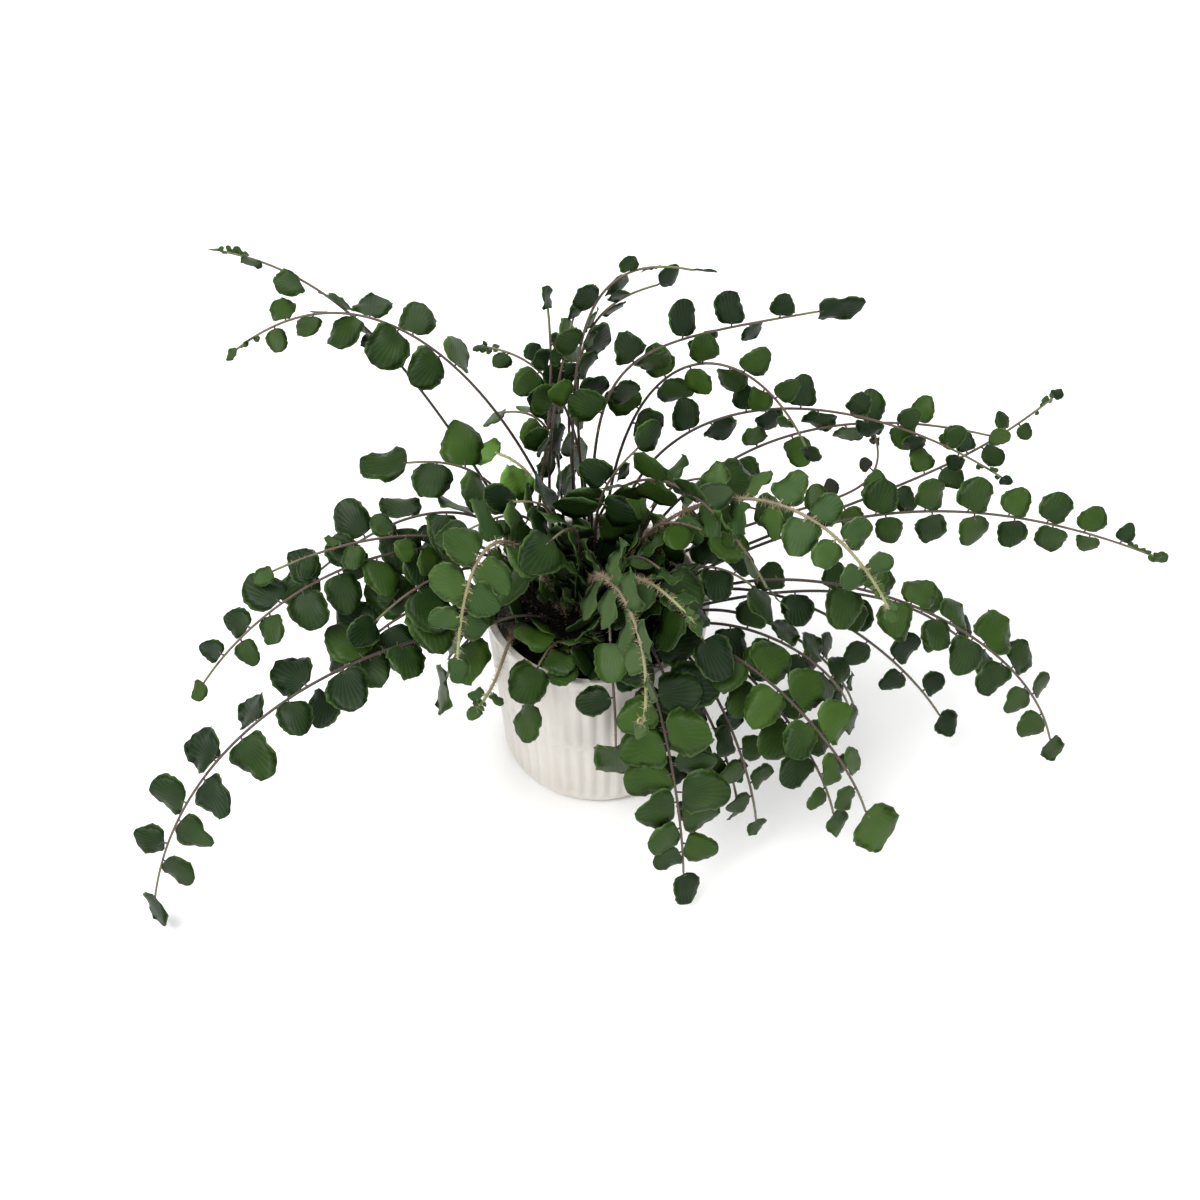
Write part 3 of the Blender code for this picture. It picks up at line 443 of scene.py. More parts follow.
# A frond: where its foot stands on the soil (x, y); the bearing and slope it starts with, and how
# long it holds them as a share of the span from foot to tip; where its tip is (bearing and reach
# from the pot's axis, height over the table); the bearing and slope it ends with, and for how long;
# the share of its length that is bare; its leaflets' number and length; the last leaflet's length;
# the turn of its leafy plane about the rachis; how far the leaflets pair up; and 1 if it is young.
Frond = namedtuple("Frond", "name foot start tip end bare leaves size crest roll pairing young")
FRONDS = [Frond(*row) for row in (
    ("left_01", (-0.030, 0.027), (136, 46, 0.50), (145, 0.242, 0.235), (166, 2, 0.30),
     0.60, 8, 0.0160, 0.007, 50, 0.7, 0),
    ("left_02", (-0.013, 0.035), (136, 70, 0.52), (152, 0.216, 0.200), (198, -34, 0.45),
     0.50, 11, 0.0205, 0.009, 10, 0.5, 0),
    ("left_03", (-0.025, 0.034), (152, 58, 0.52), (154, 0.110, 0.168), (178, -10, 0.40),
     0.62, 4, 0.0255, 0.024, 25, 0.3, 0),
    ("left_04", (-0.024, 0.019), (164, 66, 0.55), (185, 0.145, 0.150), (204, -34, 0.50),
     0.45, 7, 0.0230, 0.022, 0, 0.3, 0),
    ("left_05", (-0.018, 0.006), (172, 55, 0.42), (190, 0.166, 0.170), (200, -14, 0.40),
     0.60, 6, 0.0120, 0.012, 10, 0.6, 0),
    ("left_06", (-0.026, 0.010), (172, 60, 0.42), (199, 0.211, 0.130), (216, -46, 0.42),
     0.36, 14, 0.0200, 0.012, 0, 0.3, 0),
    ("left_07", (-0.030, 0.000), (192, 60, 0.42), (205, 0.152, 0.115), (228, -50, 0.40),
     0.36, 9, 0.0240, 0.020, 0, 0.3, 0),
    ("left_08", (-0.024, -0.004), (212, 28, 0.60), (209, 0.265, 0.025), (216, -76, 0.42),
     0.26, 15, 0.0210, 0.016, 0, 0.3, 0),
    ("left_09", (-0.015, -0.013), (210, 58, 0.75), (203, 0.086, 0.090), (205, -80, 0.50),
     0.70, 3, 0.0230, 0.030, 0, 0.2, 0),
    ("left_10", (-0.019, -0.001), (190, 76, 0.85), (227, 0.102, 0.158), (262, -58, 0.70),
     0.46, 11, 0.0215, 0.012, 0, 0.9, 1),
    ("left_11", (-0.037, -0.003), (244, 30, 0.35), (235, 0.104, 0.130), (240, 8, 0.30),
     0.86, 3, 0.0080, 0.008, 0, 0.5, 1),
    ("left_12", (-0.033, 0.012), (184, 60, 0.42), (200, 0.120, 0.145), (205, -40, 0.42),
     0.50, 6, 0.0230, 0.020, 0, 0.3, 0),
    ("up_01", (-0.012, 0.028), (92, 84, 0.62), (56, 0.084, 0.285), (350, -6, 0.36),
     0.52, 9, 0.0170, 0.014, 40, 0.4, 0),
    ("up_02", (-0.006, 0.035), (92, 80, 0.60), (69, 0.086, 0.265), (8, 12, 0.35),
     0.56, 7, 0.0190, 0.015, 40, 0.3, 0),
    ("up_03", (-0.032, 0.033), (90, 74, 0.40), (109, 0.076, 0.255), (100, 62, 0.40),
     0.55, 7, 0.0150, 0.014, 60, 0.4, 0),
    ("up_04", (-0.025, 0.041), (86, 78, 0.40), (100, 0.071, 0.250), (66, 52, 0.40),
     0.50, 7, 0.0150, 0.014, 50, 0.5, 0),
    ("up_05", (-0.002, 0.040), (112, 76, 0.50), (124, 0.105, 0.215), (158, -10, 0.40),
     0.50, 8, 0.0150, 0.007, 30, 0.5, 0),
    ("up_06", (-0.016, 0.042), (120, 74, 0.50), (123, 0.088, 0.180), (172, -15, 0.40),
     0.36, 8, 0.0200, 0.018, 40, 0.5, 0),
    ("up_07", (-0.009, 0.042), (98, 80, 0.42), (99, 0.085, 0.205), (80, 50, 0.40),
     0.40, 6, 0.0230, 0.022, 50, 0.4, 0),
    ("up_08", (-0.019, 0.027), (128, 74, 0.50), (132, 0.077, 0.165), (152, -4, 0.35),
     0.62, 3, 0.0190, 0.018, 20, 0.3, 1),
    ("right_01", (-0.003, 0.027), (92, 84, 0.82), (39, 0.147, 0.235), (16, -2, 0.62),
     0.44, 10, 0.0195, 0.031, 20, 0.3, 0),
    ("right_02", (0.003, 0.032), (86, 66, 1.00), (20, 0.115, 0.190), (322, -58, 0.60),
     0.40, 12, 0.0190, 0.014, 0, 0.4, 0),
    ("right_03", (0.006, 0.025), (80, 66, 0.56), (11, 0.216, 0.165), (344, -30, 0.46),
     0.36, 13, 0.0170, 0.008, 20, 0.4, 0),
    ("right_04", (0.014, 0.026), (36, 58, 0.42), (15, 0.212, 0.182), (350, -8, 0.42),
     0.40, 10, 0.0180, 0.014, 45, 0.3, 0),
    ("right_05", (0.025, 0.014), (6, 32, 0.50), (21, 0.262, 0.170), (40, 10, 0.35),
     0.42, 11, 0.0150, 0.008, 30, 0.4, 0),
    ("right_06", (0.022, 0.022), (14, 38, 0.60), (31, 0.175, 0.150), (112, 36, 0.35),
     0.60, 5, 0.0110, 0.009, 60, 0.4, 0),
    ("right_07", (0.027, 0.006), (4, 42, 0.40), (4, 0.297, 0.125), (350, -20, 0.42),
     0.46, 14, 0.0185, 0.010, 75, 0.8, 0),
    ("right_08", (0.030, -0.004), (348, 55, 0.48), (348, 0.247, 0.060), (332, -74, 0.42),
     0.42, 14, 0.0205, 0.014, 15, 0.4, 0),
    ("right_09", (0.022, -0.008), (350, 34, 0.42), (357, 0.205, 0.080), (346, -50, 0.42),
     0.36, 10, 0.0190, 0.016, 30, 0.3, 0),
    ("right_10", (0.003, 0.010), (10, 70, 0.56), (337, 0.157, 0.180), (318, -52, 0.50),
     0.36, 15, 0.0190, 0.010, 0, 0.8, 1),
    ("right_11", (-0.005, 0.014), (96, 74, 0.60), (330, 0.098, 0.180), (316, -50, 0.72),
     0.32, 12, 0.0220, 0.016, 0, 0.6, 0),
    ("right_12", (0.034, -0.011), (344, 60, 0.48), (353, 0.143, 0.035), (340, -82, 0.42),
     0.60, 5, 0.0150, 0.011, 40, 0.5, 0),
    ("right_13", (0.036, 0.002), (352, 52, 0.42), (354, 0.188, 0.040), (345, -60, 0.42),
     0.58, 6, 0.0170, 0.015, 50, 0.4, 0),
    ("right_14", (0.031, -0.019), (342, 60, 0.46), (344, 0.140, 0.070), (335, -70, 0.42),
     0.34, 10, 0.0205, 0.017, 20, 0.3, 0),
    ("front_01", (0.024, -0.024), (314, 62, 0.60), (315, 0.120, 0.032), (306, -80, 0.46),
     0.50, 7, 0.0175, 0.013, 10, 0.3, 0),
    ("front_02", (0.017, -0.027), (308, 62, 0.62), (312, 0.112, 0.040), (306, -80, 0.46),
     0.50, 5, 0.0160, 0.013, 10, 0.3, 0),
    ("front_03", (0.028, -0.014), (322, 50, 0.42), (322, 0.157, 0.055), (318, -74, 0.42),
     0.42, 9, 0.0200, 0.017, 10, 0.3, 0),
    ("front_04", (0.032, -0.026), (325, 66, 0.46), (323, 0.174, 0.068), (325, -70, 0.42),
     0.36, 10, 0.0205, 0.030, 0, 0.3, 0),
    ("front_05", (0.009, -0.027), (302, 66, 0.62), (292, 0.122, 0.024), (284, -84, 0.46),
     0.36, 13, 0.0240, 0.019, 0, 0.4, 0),
    ("front_06", (0.003, -0.032), (286, 68, 0.85), (277, 0.080, 0.090), (272, -88, 0.55),
     0.62, 3, 0.0180, 0.029, 0, 0.2, 0),
    ("front_07", (0.012, -0.020), (308, 68, 0.70), (298, 0.104, 0.060), (292, -84, 0.50),
     0.34, 10, 0.0240, 0.019, 0, 0.3, 0),
    ("front_08", (-0.002, -0.004), (180, 82, 0.60), (282, 0.112, 0.150), (256, -60, 0.55),
     0.30, 10, 0.0210, 0.010, 0, 0.5, 1),
    ("front_09", (0.005, -0.004), (300, 70, 0.42), (304, 0.084, 0.180), (322, -30, 0.42),
     0.50, 6, 0.0180, 0.010, 0, 0.5, 1),
    ("front_10", (-0.002, -0.025), (252, 64, 0.62), (243, 0.072, 0.106), (240, -60, 0.42),
     0.50, 4, 0.0195, 0.019, 0, 0.3, 0),
    ("front_11", (-0.011, -0.022), (238, 50, 0.42), (241, 0.062, 0.124), (242, -24, 0.42),
     0.45, 4, 0.0200, 0.020, 0, 0.3, 0),
    ("crown_01", (-0.010, 0.003), (230, 74, 0.60), (206, 0.040, 0.158), (214, -30, 0.50),
     0.36, 6, 0.0215, 0.021, 0, 0.4, 0),
    ("crown_02", (0.003, 0.002), (320, 72, 0.50), (318, 0.048, 0.170), (318, -16, 0.40),
     0.32, 7, 0.0230, 0.021, 0, 0.4, 0),
    ("crown_03", (0.012, 0.014), (20, 70, 0.50), (14, 0.066, 0.190), (6, -14, 0.40),
     0.30, 8, 0.0225, 0.022, 0, 0.4, 0),
    ("crown_04", (-0.001, 0.020), (66, 76, 0.45), (48, 0.030, 0.205), (40, 20, 0.35),
     0.36, 7, 0.0210, 0.020, 20, 0.4, 0),
    ("crown_05", (0.011, -0.011), (318, 64, 0.50), (314, 0.077, 0.148), (310, -36, 0.45),
     0.32, 7, 0.0225, 0.021, 0, 0.3, 0),
    ("crown_06", (0.017, -0.003), (340, 64, 0.50), (345, 0.082, 0.150), (342, -36, 0.45),
     0.32, 8, 0.0220, 0.021, 0, 0.3, 0),
    ("crown_07", (-0.016, 0.013), (176, 74, 0.60), (182, 0.065, 0.172), (188, -30, 0.50),
     0.40, 7, 0.0215, 0.020, 0, 0.4, 0),
    ("crown_08", (0.009, 0.005), (352, 72, 0.55), (351, 0.058, 0.176), (346, -24, 0.45),
     0.36, 7, 0.0225, 0.021, 0, 0.4, 0),
    ("crown_09", (-0.007, 0.008), (216, 80, 0.42), (222, 0.030, 0.184), (228, -4, 0.34),
     0.34, 7, 0.0230, 0.022, 0, 0.4, 0),
    ("crown_10", (-0.020, 0.020), (158, 76, 0.50), (168, 0.044, 0.180), (174, -12, 0.40),
     0.36, 6, 0.0220, 0.021, 10, 0.4, 0),
    ("crown_11", (0.018, 0.008), (4, 66, 0.50), (2, 0.080, 0.182), (354, -20, 0.42),
     0.30, 8, 0.0225, 0.021, 0, 0.4, 0),
    ("crown_12", (0.004, -0.012), (280, 72, 0.50), (277, 0.056, 0.146), (272, -30, 0.40),
     0.34, 6, 0.0235, 0.022, 0, 0.4, 0),
)]

# Small changes to a frond's starting slope and bearing, tried in order until its rachis is clear
PATH_NUDGES = (
    (0, 0), (4, 0), (-4, 0), (0, 6), (0, -6), (6, 6), (6, -6), (-6, 6), (-6, -6), (9, 0), (-9, 0),
    (0, 12), (0, -12), (10, 12), (10, -12), (14, 0), (0, 20), (0, -20), (12, 20), (12, -20))
# Lift, sweep, size and stalklet of a leaflet, tried in order until its blade is clear
LEAF_CHOICES = (
    (0, 0, 1.0, 1.0), (16, 0, 1.0, 1.0), (-16, 0, 1.0, 1.0), (32, 0, 1.0, 1.0), (-32, 0, 1.0, 1.0),
    (0, 18, 1.0, 1.0), (0, -18, 1.0, 1.0), (50, 0, 0.95, 1.0), (-50, 0, 0.95, 1.0), (0, -9, 0.95, 2.2),
    (24, -9, 0.95, 2.2), (-24, -9, 0.95, 2.2), (24, 18, 0.9, 1.0), (-24, 18, 0.9, 1.0),
    (0, 0, 0.78, 1.0), (30, 0, 0.78, 1.0), (-30, 0, 0.78, 1.0), (0, -24, 0.85, 2.8), (45, -9, 0.8, 2.2),
    (-45, -9, 0.8, 2.2), (60, 15, 0.78, 1.0), (-60, 15, 0.78, 1.0), (0, 20, 0.62, 1.0),
    (40, 0, 0.62, 1.0), (-40, 0, 0.62, 1.0), (30, -24, 0.6, 2.2), (-30, -24, 0.6, 2.2),
    (0, -12, 0.5, 2.2), (50, -12, 0.5, 2.2), (-50, -12, 0.5, 2.2))


Path = namedtuple("Path", "points along normals length")


def bearing_vector(bearing, slope=0.0):
    """Unit vector along a bearing and a slope, both in degrees."""
    across = math.cos(math.radians(slope))
    angle = math.radians(bearing)
    return Vector((across * math.cos(angle), across * math.sin(angle), math.sin(math.radians(slope))))


def foot_point(frond):
    return Vector((*frond.foot, soil_height(*frond.foot)))


def triangle_ring(middle, across, up, radius):
    """Top left, top right and bottom corner of a stem, seen along it."""
    half_width = radius * math.sin(math.radians(60))
    return [middle - across * half_width + up * radius * 0.5,
            middle + across * half_width + up * radius * 0.5,
            middle - up * radius]


def frond_path(frond, nudge):
    """The frond's middle line over the soil, sampled evenly."""
    first = foot_point(frond) + Vector((0, 0, STEM_CLEAR_OF_SOIL))
    last = bearing_vector(frond.tip[0]) * frond.tip[1] + Vector((0, 0, frond.tip[2]))
    span = (last - first).length
    leave = bearing_vector(frond.start[0] + nudge[1], frond.start[1] + nudge[0])
    arrive = bearing_vector(*frond.end[:2])
    hold = (first, first + leave * span * frond.start[2], last - arrive * span * frond.end[2], last)
    curve = []
    for index in range(CURVE_STEPS + 1):
        t = index / CURVE_STEPS
        weights = ((1 - t) ** 3, 3 * t * (1 - t) ** 2, 3 * t * t * (1 - t), t ** 3)
        curve.append(sum((point * weight for point, weight in zip(hold, weights)), Vector()))
    lengths = [0.0]
    for before, after in zip(curve, curve[1:]):
        lengths.append(lengths[-1] + (after - before).length)
    points, at = [], 0
    for index in range(PATH_SAMPLES + 1):
        goal = lengths[-1] * index / PATH_SAMPLES
        while at < CURVE_STEPS - 1 and lengths[at + 1] < goal:
            at += 1
        share = (goal - lengths[at]) / (lengths[at + 1] - lengths[at])
        points.append(curve[at].lerp(curve[at + 1], min(1.0, share)))
    up = bearing_vector(frond.start[0] + 180)
    along, normals = [], []
    for index in range(PATH_SAMPLES + 1):
        low, high = max(0, index - 1), min(PATH_SAMPLES, index + 1)
        direction = (points[high] - points[low]).normalized()
        up = (up - direction * up.dot(direction)).normalized()
        along.append(direction)
        normals.append(up)
    return Path(points, along, normals, lengths[-1])


def frame_at(path, share, roll):
    """Point, direction, rightward and upward vectors at a share of the path, turned by roll."""
    index = min(int(share * PATH_SAMPLES), PATH_SAMPLES - 1)
    rest = share * PATH_SAMPLES - index
    middle = path.points[index].lerp(path.points[index + 1], rest)
    direction = path.along[index].lerp(path.along[index + 1], rest).normalized()
    up = path.normals[index].lerp(path.normals[index + 1], rest)
    up = (up - direction * up.dot(direction)).normalized()
    across = direction.cross(up)
    turn = math.radians(roll)
    turned_up = up * math.cos(turn) + across * math.sin(turn)
    return middle, direction, direction.cross(turned_up), turned_up


def leaf_shares(frond):
    """Where the leaflets stand along the path: closer together near the tip, paired in part."""
    spread = LAST_SIDE_LEAF - frond.bare
    shares = []
    for index in range(frond.leaves - 1):
        place = index - (PAIR_SHIFT * frond.pairing if index % 2 else 0.0)
        shares.append(frond.bare + spread * (place / (frond.leaves - 1)) ** SPACING_POWER)
    return shares


def ring_shares(frond, path):
    """Where the stem has a ring of corners: along the petiole, at every leaflet and at the tip."""
    count = max(2, round(frond.bare * path.length / PETIOLE_RING_STEP))
    petiole = [frond.bare * ring / count for ring in range(count)]
    return petiole + leaf_shares(frond) + [1.0]


def stem_radius(share):
    return STEM_RADIUS + (TIP_RADIUS - STEM_RADIUS) * share


def roll_at(frond, share):
    """The leafy plane's turn grows along the petiole and is whole where the leaflets start."""
    return frond.roll * min(1.0, share / frond.bare)


def leaf_form(frond_index, leaf_index, frond, choice):
    """A leaflet's own length, width and lie, from draws that are the same on every run."""
    draw = random.Random(DRAW_SEED + 100 * frond_index + leaf_index)
    form = {name: draw.uniform(low, high) for name, low, high in LEAF_DRAWS}
    lift, sweep, scale, stalk = choice
    last = frond.leaves - 1
    if leaf_index == last:
        form["length"] *= frond.crest * scale
        form["sweep"] = CREST_SWEEP_SHARE * (form["sweep"] - MIDDLE_SWEEP)
    else:
        tapering = max(0.0, leaf_index / last - TAPER_FROM) / (1.0 - TAPER_FROM)
        form["length"] *= frond.size * (1.0 - TAPER_BY * tapering) * scale
    form["width"] *= form["length"] * BLADE_ASPECT
    form["lift"] += lift
    form["sweep"] += sweep
    form["stalk"] = STALKLET * stalk
    return form


def leaf_axes(form, direction, outward, up):
    """Unit vectors along, across and over a leaflet that leaves the rachis outward."""
    lift, sweep, twist = (math.radians(form[key]) for key in ("lift", "sweep", "twist"))
    side = outward * math.cos(lift) + up * math.sin(lift)
    over = up * math.cos(lift) - outward * math.sin(lift)
    length_way = side * math.cos(sweep) + direction * math.sin(sweep)
    width_way = direction * math.cos(sweep) - side * math.sin(sweep)
    return (length_way, width_way * math.cos(twist) + over * math.sin(twist),
            over * math.cos(twist) - width_way * math.sin(twist))


def blade_point(form, root, axes, row, side):
    """A point of the blade: row runs 0 to 1 from neck to tip, side -1 to 1 across."""
    length_way, width_way, over = axes
    angle = math.pi * row
    x = 0.5 * (1 - math.cos(angle))
    y = 0.5 * math.sin(angle) ** BLADE_FULLNESS * (1 + BLADE_HEART * math.cos(angle)) * side
    z = -form["cup"] * abs(side) ** CUP_POWER * math.sin(angle) - form["bend"] * x * x
    z += form["wave"] * side * side * math.sin(EDGE_WAVES * angle + side + form["phase"])
    return (root + length_way * (form["stalk"] + form["length"] * x)
            + width_way * form["width"] * y + over * form["length"] * z)


def blade_outline(form, root, axes):
    """Outline of the upper face, forward side out to the tip and rear side back."""
    rows, side = MIDDLE_ROWS, WIDENING
    if form["length"] > LARGE_LEAF:
        rows = LARGE_ROWS
    elif form["length"] < SMALL_LEAF:
        rows, side = SMALL_ROWS, SMALL_WIDENING
    forward = [blade_point(form, root, axes, row, side) for row in rows]
    rear = [blade_point(form, root, axes, row, -side) for row in rows]
    return forward + rear[::-1]


def stem_rings(frond, path, grow=0.0):
    """The corners of the rachis, ring by ring over the soil, larger by grow."""
    rings = []
    for share in ring_shares(frond, path):
        middle, _, across, up = frame_at(path, share, roll_at(frond, share))
        rings.append(triangle_ring(middle, across, up, stem_radius(share) + grow))
    return rings


def leaf_root(frond, path, share, side):
    """Where a leaflet grows: a point of the rachis, the forward way, the way out and upward."""
    middle, direction, across, up = frame_at(path, share, roll_at(frond, share))
    if side == 0:
        return middle, up.cross(direction), direction, up
    radius = stem_radius(share)
    root = middle + across * side * radius * ROOT_OUT + up * radius * ROOT_UP
    return root + direction * 0.5 * NECK_WIDTH, direction, across * side, up


def matches(points, tree):
    """Whether all points lie at corners of the node's solid."""
    return all(tree.find(point)[2] < SAME_PLACE for point in points)


def corner_tree(solid):
    tree = KDTree(len(solid.data.vertices))
    for index, vertex in enumerate(solid.data.vertices):
        tree.insert(vertex.co, index)
    tree.balance()
    return tree


def solid_path(frond, tree):
    """The path that the node's rachis took."""
    for nudge in PATH_NUDGES:
        path = frond_path(frond, nudge)
        if matches([point for ring in stem_rings(frond, path) for point in ring], tree):
            return path
    raise ValueError("no path fits " + frond.name)


def solid_leaf(frond_index, leaf_index, frond, path, share, side, tree):
    """Root, axes and form of a leaflet as the node has it, or None where it has none."""
    root, forward, outward, up = leaf_root(frond, path, share, side)
    for choice in LEAF_CHOICES:
        form = leaf_form(frond_index, leaf_index, frond, choice)
        axes = leaf_axes(form, forward, outward, up)
        if matches(blade_outline(form, root, axes), tree):
            return root, axes, form
    return None


# One flat leaflet that every blade starts from: rows along it, columns across, an upper and an under
# face that share their margin
BLADE_ROWS = 16
BLADE_COLUMNS = 4
# Waves along the margin, and how much each is shifted from one side of the blade to the other
SCALLOPS = 13.0
FRILL_WAVES = 7.0
FRILL_SHARE = 0.42
UNEVEN_WAVES = 2.6
UNEVEN_SHARE = 1.9
SCALLOP_SLANT = 2.0
UNEVEN_SLANT = 1.7
FRILL_SLANT = 1.3
LOBE_POWER = 3.0
HAIR_TILT = 0.55
HAIR_SCALES = (0.35, 1.15)


def flat_blade():
    """The blade's grid: angle runs 0 to pi along it, side -1 to 1 across, face 1 above and -1 below."""
    points, faces, blade = [], [], []
    grids = []
    for face in (1, -1):
        grid = {}
        for row in range(BLADE_ROWS + 1):
            for column in range(BLADE_COLUMNS + 1):
                end = row in (0, BLADE_ROWS)
                rim = end or column in (0, BLADE_COLUMNS)
                if end and column:
                    grid[row, column] = grid[row, 0]
                elif rim and face < 0:
                    grid[row, column] = grids[0][row, column]
                else:
                    grid[row, column] = len(points)
                    angle = math.pi * row / BLADE_ROWS
                    side = 0.0 if end else 2 * column / BLADE_COLUMNS - 1
                    points.append((angle, side, 0.0))
                    blade.append((angle, side, 0.0 if rim else face))
        grids.append(grid)
    for face, grid in zip((1, -1), grids):
        for row in range(BLADE_ROWS):
            for column in range(BLADE_COLUMNS):
                near, far = grid[row, column], grid[row, column + 1]
                below, beyond = grid[row + 1, column], grid[row + 1, column + 1]
                for corners in ((near, far, beyond), (near, beyond, below)):
                    if len(set(corners)) == 3:
                        faces.append(corners[::-1] if face > 0 else corners)
    mesh = bpy.data.meshes.new("flat_blade")
    mesh.from_pydata(points, [], faces)
    store(mesh, "blade", blade, "FLOAT_VECTOR")
    made = add_object("flat_blade", mesh)
    made.hide_render = True
    return made


frond_tree, given, output = geometry_group("frond", (
    ("Blade", "Object"), ("Blade thickness", "Float"), ("Edge notch", "Float"), ("Stem sides", "Int"),
    ("Hair density", "Float"), ("Hair length", "Float"), ("Hair radius", "Float"), ("Seed", "Int"),
    ("Leaf finish", "Material"), ("Stem finish", "Material"), ("Hair finish", "Material")))
leafy = named(frond_tree, "leafy").math("GREATER_THAN", 0.5)
parts = node(frond_tree, "GeometryNodeSeparateGeometry", {"Geometry": given["Geometry"], "Selection": leafy},
             domain="POINT")
blade = result(frond_tree, "GeometryNodeObjectInfo", {"Object": given["Blade"]}, "Geometry")
blades = result(frond_tree, "GeometryNodeInstanceOnPoints", {"Points": parts.outputs[0], "Instance": blade})
blades = result(frond_tree, "GeometryNodeRealizeInstances", {0: blades})


def split(vector):
    return [Number(part) for part in node(vector.id_data, "ShaderNodeSeparateXYZ", {0: vector}).outputs]


def numbers_of(name):
    """The three numbers of a stored vector."""
    return split(named(frond_tree, name, "FLOAT_VECTOR"))


# The blade's form: along it from neck to tip, across from rim to rim, and over its plane
angle, side, face = numbers_of("blade")
stalk, length, width = numbers_of("size")
cup, bend, wave = numbers_of("lie")
shoulders, skew, sinus = numbers_of("shape")
phase = named(frond_tree, "phase")
sine, cosine, away = angle.math("SINE"), angle.math("COSINE"), side.math("ABSOLUTE")
bulge = sine.math("MAXIMUM", 0.0)
along = cosine * -0.5 + 0.5
scallops = (angle * SCALLOPS + (side * SCALLOP_SLANT + phase)).math("SINE")
unevenness = (angle * UNEVEN_WAVES + (side * UNEVEN_SLANT + phase)).math("SINE")
notch = (unevenness * UNEVEN_SHARE + scallops) * given["Edge notch"] * (away * away)
across = bulge ** BLADE_FULLNESS * (cosine * shoulders + 1.0) * (side * 0.5) * (notch + 1.0)
across = across + sine * skew * along
lobes = sinus * away * (sine * sine * (along * -1.0 + 1.0) ** LOBE_POWER)
frill = (angle * FRILL_WAVES + (side * FRILL_SLANT + phase)).math("SINE")
ripple = frill * FRILL_SHARE + (angle * EDGE_WAVES + (side + phase)).math("SINE")
over = ripple * wave * (side * side) - away ** CUP_POWER * sine * cup - along * along * bend
below = face.math("MINIMUM", 0.0) * given["Blade thickness"] * bulge ** 0.5
place = named(frond_tree, "root", "FLOAT_VECTOR")
for direction, amount in (("length_way", (along - lobes) * length + stalk), ("width_way", across * width),
                          ("over", over * length + below)):
    step = scaled(frond_tree, named(frond_tree, direction, "FLOAT_VECTOR"), amount)
    place = result(frond_tree, "ShaderNodeVectorMath", {0: place, 1: step})
mark = result(frond_tree, "ShaderNodeCombineXYZ", {0: along, 1: across, 2: side})
marks = {"Geometry": blades, "Name": "mark", "Value": mark}
blades = result(frond_tree, "GeometryNodeStoreNamedAttribute", marks,
                data_type="FLOAT_VECTOR", domain="POINT")
blades = result(frond_tree, "GeometryNodeSetPosition", {"Geometry": blades, "Position": place})
blades = result(frond_tree, "GeometryNodeSetShadeSmooth", {0: blades})
blades = painted(blades, given["Leaf finish"])

curve = result(frond_tree, "GeometryNodeMeshToCurve", {0: parts.outputs[1]})
circle = {"Resolution": given["Stem sides"], "Radius": 1.0}
ring = result(frond_tree, "GeometryNodeCurvePrimitiveCircle", circle)
stem = result(frond_tree, "GeometryNodeCurveToMesh", {
    "Curve": curve, "Profile Curve": ring, "Scale": named(frond_tree, "thick"), "Fill Caps": True})
stem = result(frond_tree, "GeometryNodeSetShadeSmooth", {0: stem})
spots = node(frond_tree, "GeometryNodeDistributePointsOnFaces", {
    "Mesh": stem, "Density": named(frond_tree, "hairy") * given["Hair density"], "Seed": given["Seed"]})
stem = painted(stem, given["Stem finish"])
hair = result(frond_tree, "GeometryNodeMeshCone", {
    "Vertices": 3, "Radius Top": 0.0, "Radius Bottom": given["Hair radius"], "Depth": given["Hair length"]})
tilts = {0: (-HAIR_TILT,) * 3, 1: (HAIR_TILT,) * 3, "Seed": given["Seed"]}
tilt = result(frond_tree, "FunctionNodeRandomValue", tilts, data_type="FLOAT_VECTOR")
lean = result(frond_tree, "ShaderNodeVectorMath", {0: spots.outputs["Normal"], 1: tilt})
lengths = {2: HAIR_SCALES[0], 3: HAIR_SCALES[1], "Seed": given["Seed"]}
hairs = result(frond_tree, "GeometryNodeInstanceOnPoints", {
    "Points": spots.outputs["Points"], "Instance": hair,
    "Rotation": result(frond_tree, "FunctionNodeAlignRotationToVector", {"Vector": lean}, axis="Z"),
    "Scale": result(frond_tree, "FunctionNodeRandomValue", lengths, 1)})
hairs = result(frond_tree, "GeometryNodeRealizeInstances", {0: hairs})
hairs = painted(hairs, given["Hair finish"])
joined = node(frond_tree, "GeometryNodeJoinGeometry")
for part in (hairs, stem, blades):
    feed(joined, {0: part})
feed(output, {0: result(frond_tree, "GeometryNodeRealizeInstances", {0: joined.outputs[0]})})

# The leaflets' surface: leathery, with fine veins that fan out from the stalklet, a paler margin and a
# paler, duller under side
# The veins' fan starts this share of a leaflet's length behind its neck
VEIN_ROOT = 0.10
VEINS = 46.0
VEIN_SHARPNESS = 3.0
VEIN_SHARE = 0.18
LEAF_CLOUD = (55.0, 3.0, 0.55)
CLOUD_SHARE = 0.7
# The pale rim, by the distance from the margin: 0 on it, 1 inside
RIM = {"From Min": 0.38, "From Max": 0.0, "To Max": 0.85}
VEIN_HEIGHT = 0.6
CLOUD_HEIGHT = 0.8
LEAF_BUMP = (0.22, 0.0005)
LEAF_SPECULAR = 0.18
UNDER_SHARE = -0.75
UNDER_ROUGHER = 0.2

surface, given, output = node_group(
    "ShaderNodeTree", "leaf_surface",
    (("Deep", "Color"), ("Fresh", "Color"), ("Margin", "Color"), ("Under", "Color"), ("Roughness", "Float")),
    (("Color", "Color"), ("Roughness", "Float"), ("Height", "Float")))


def attribute(tree, name, output="Vector"):
    return result(tree, "ShaderNodeAttribute", output=output, attribute_name=name)


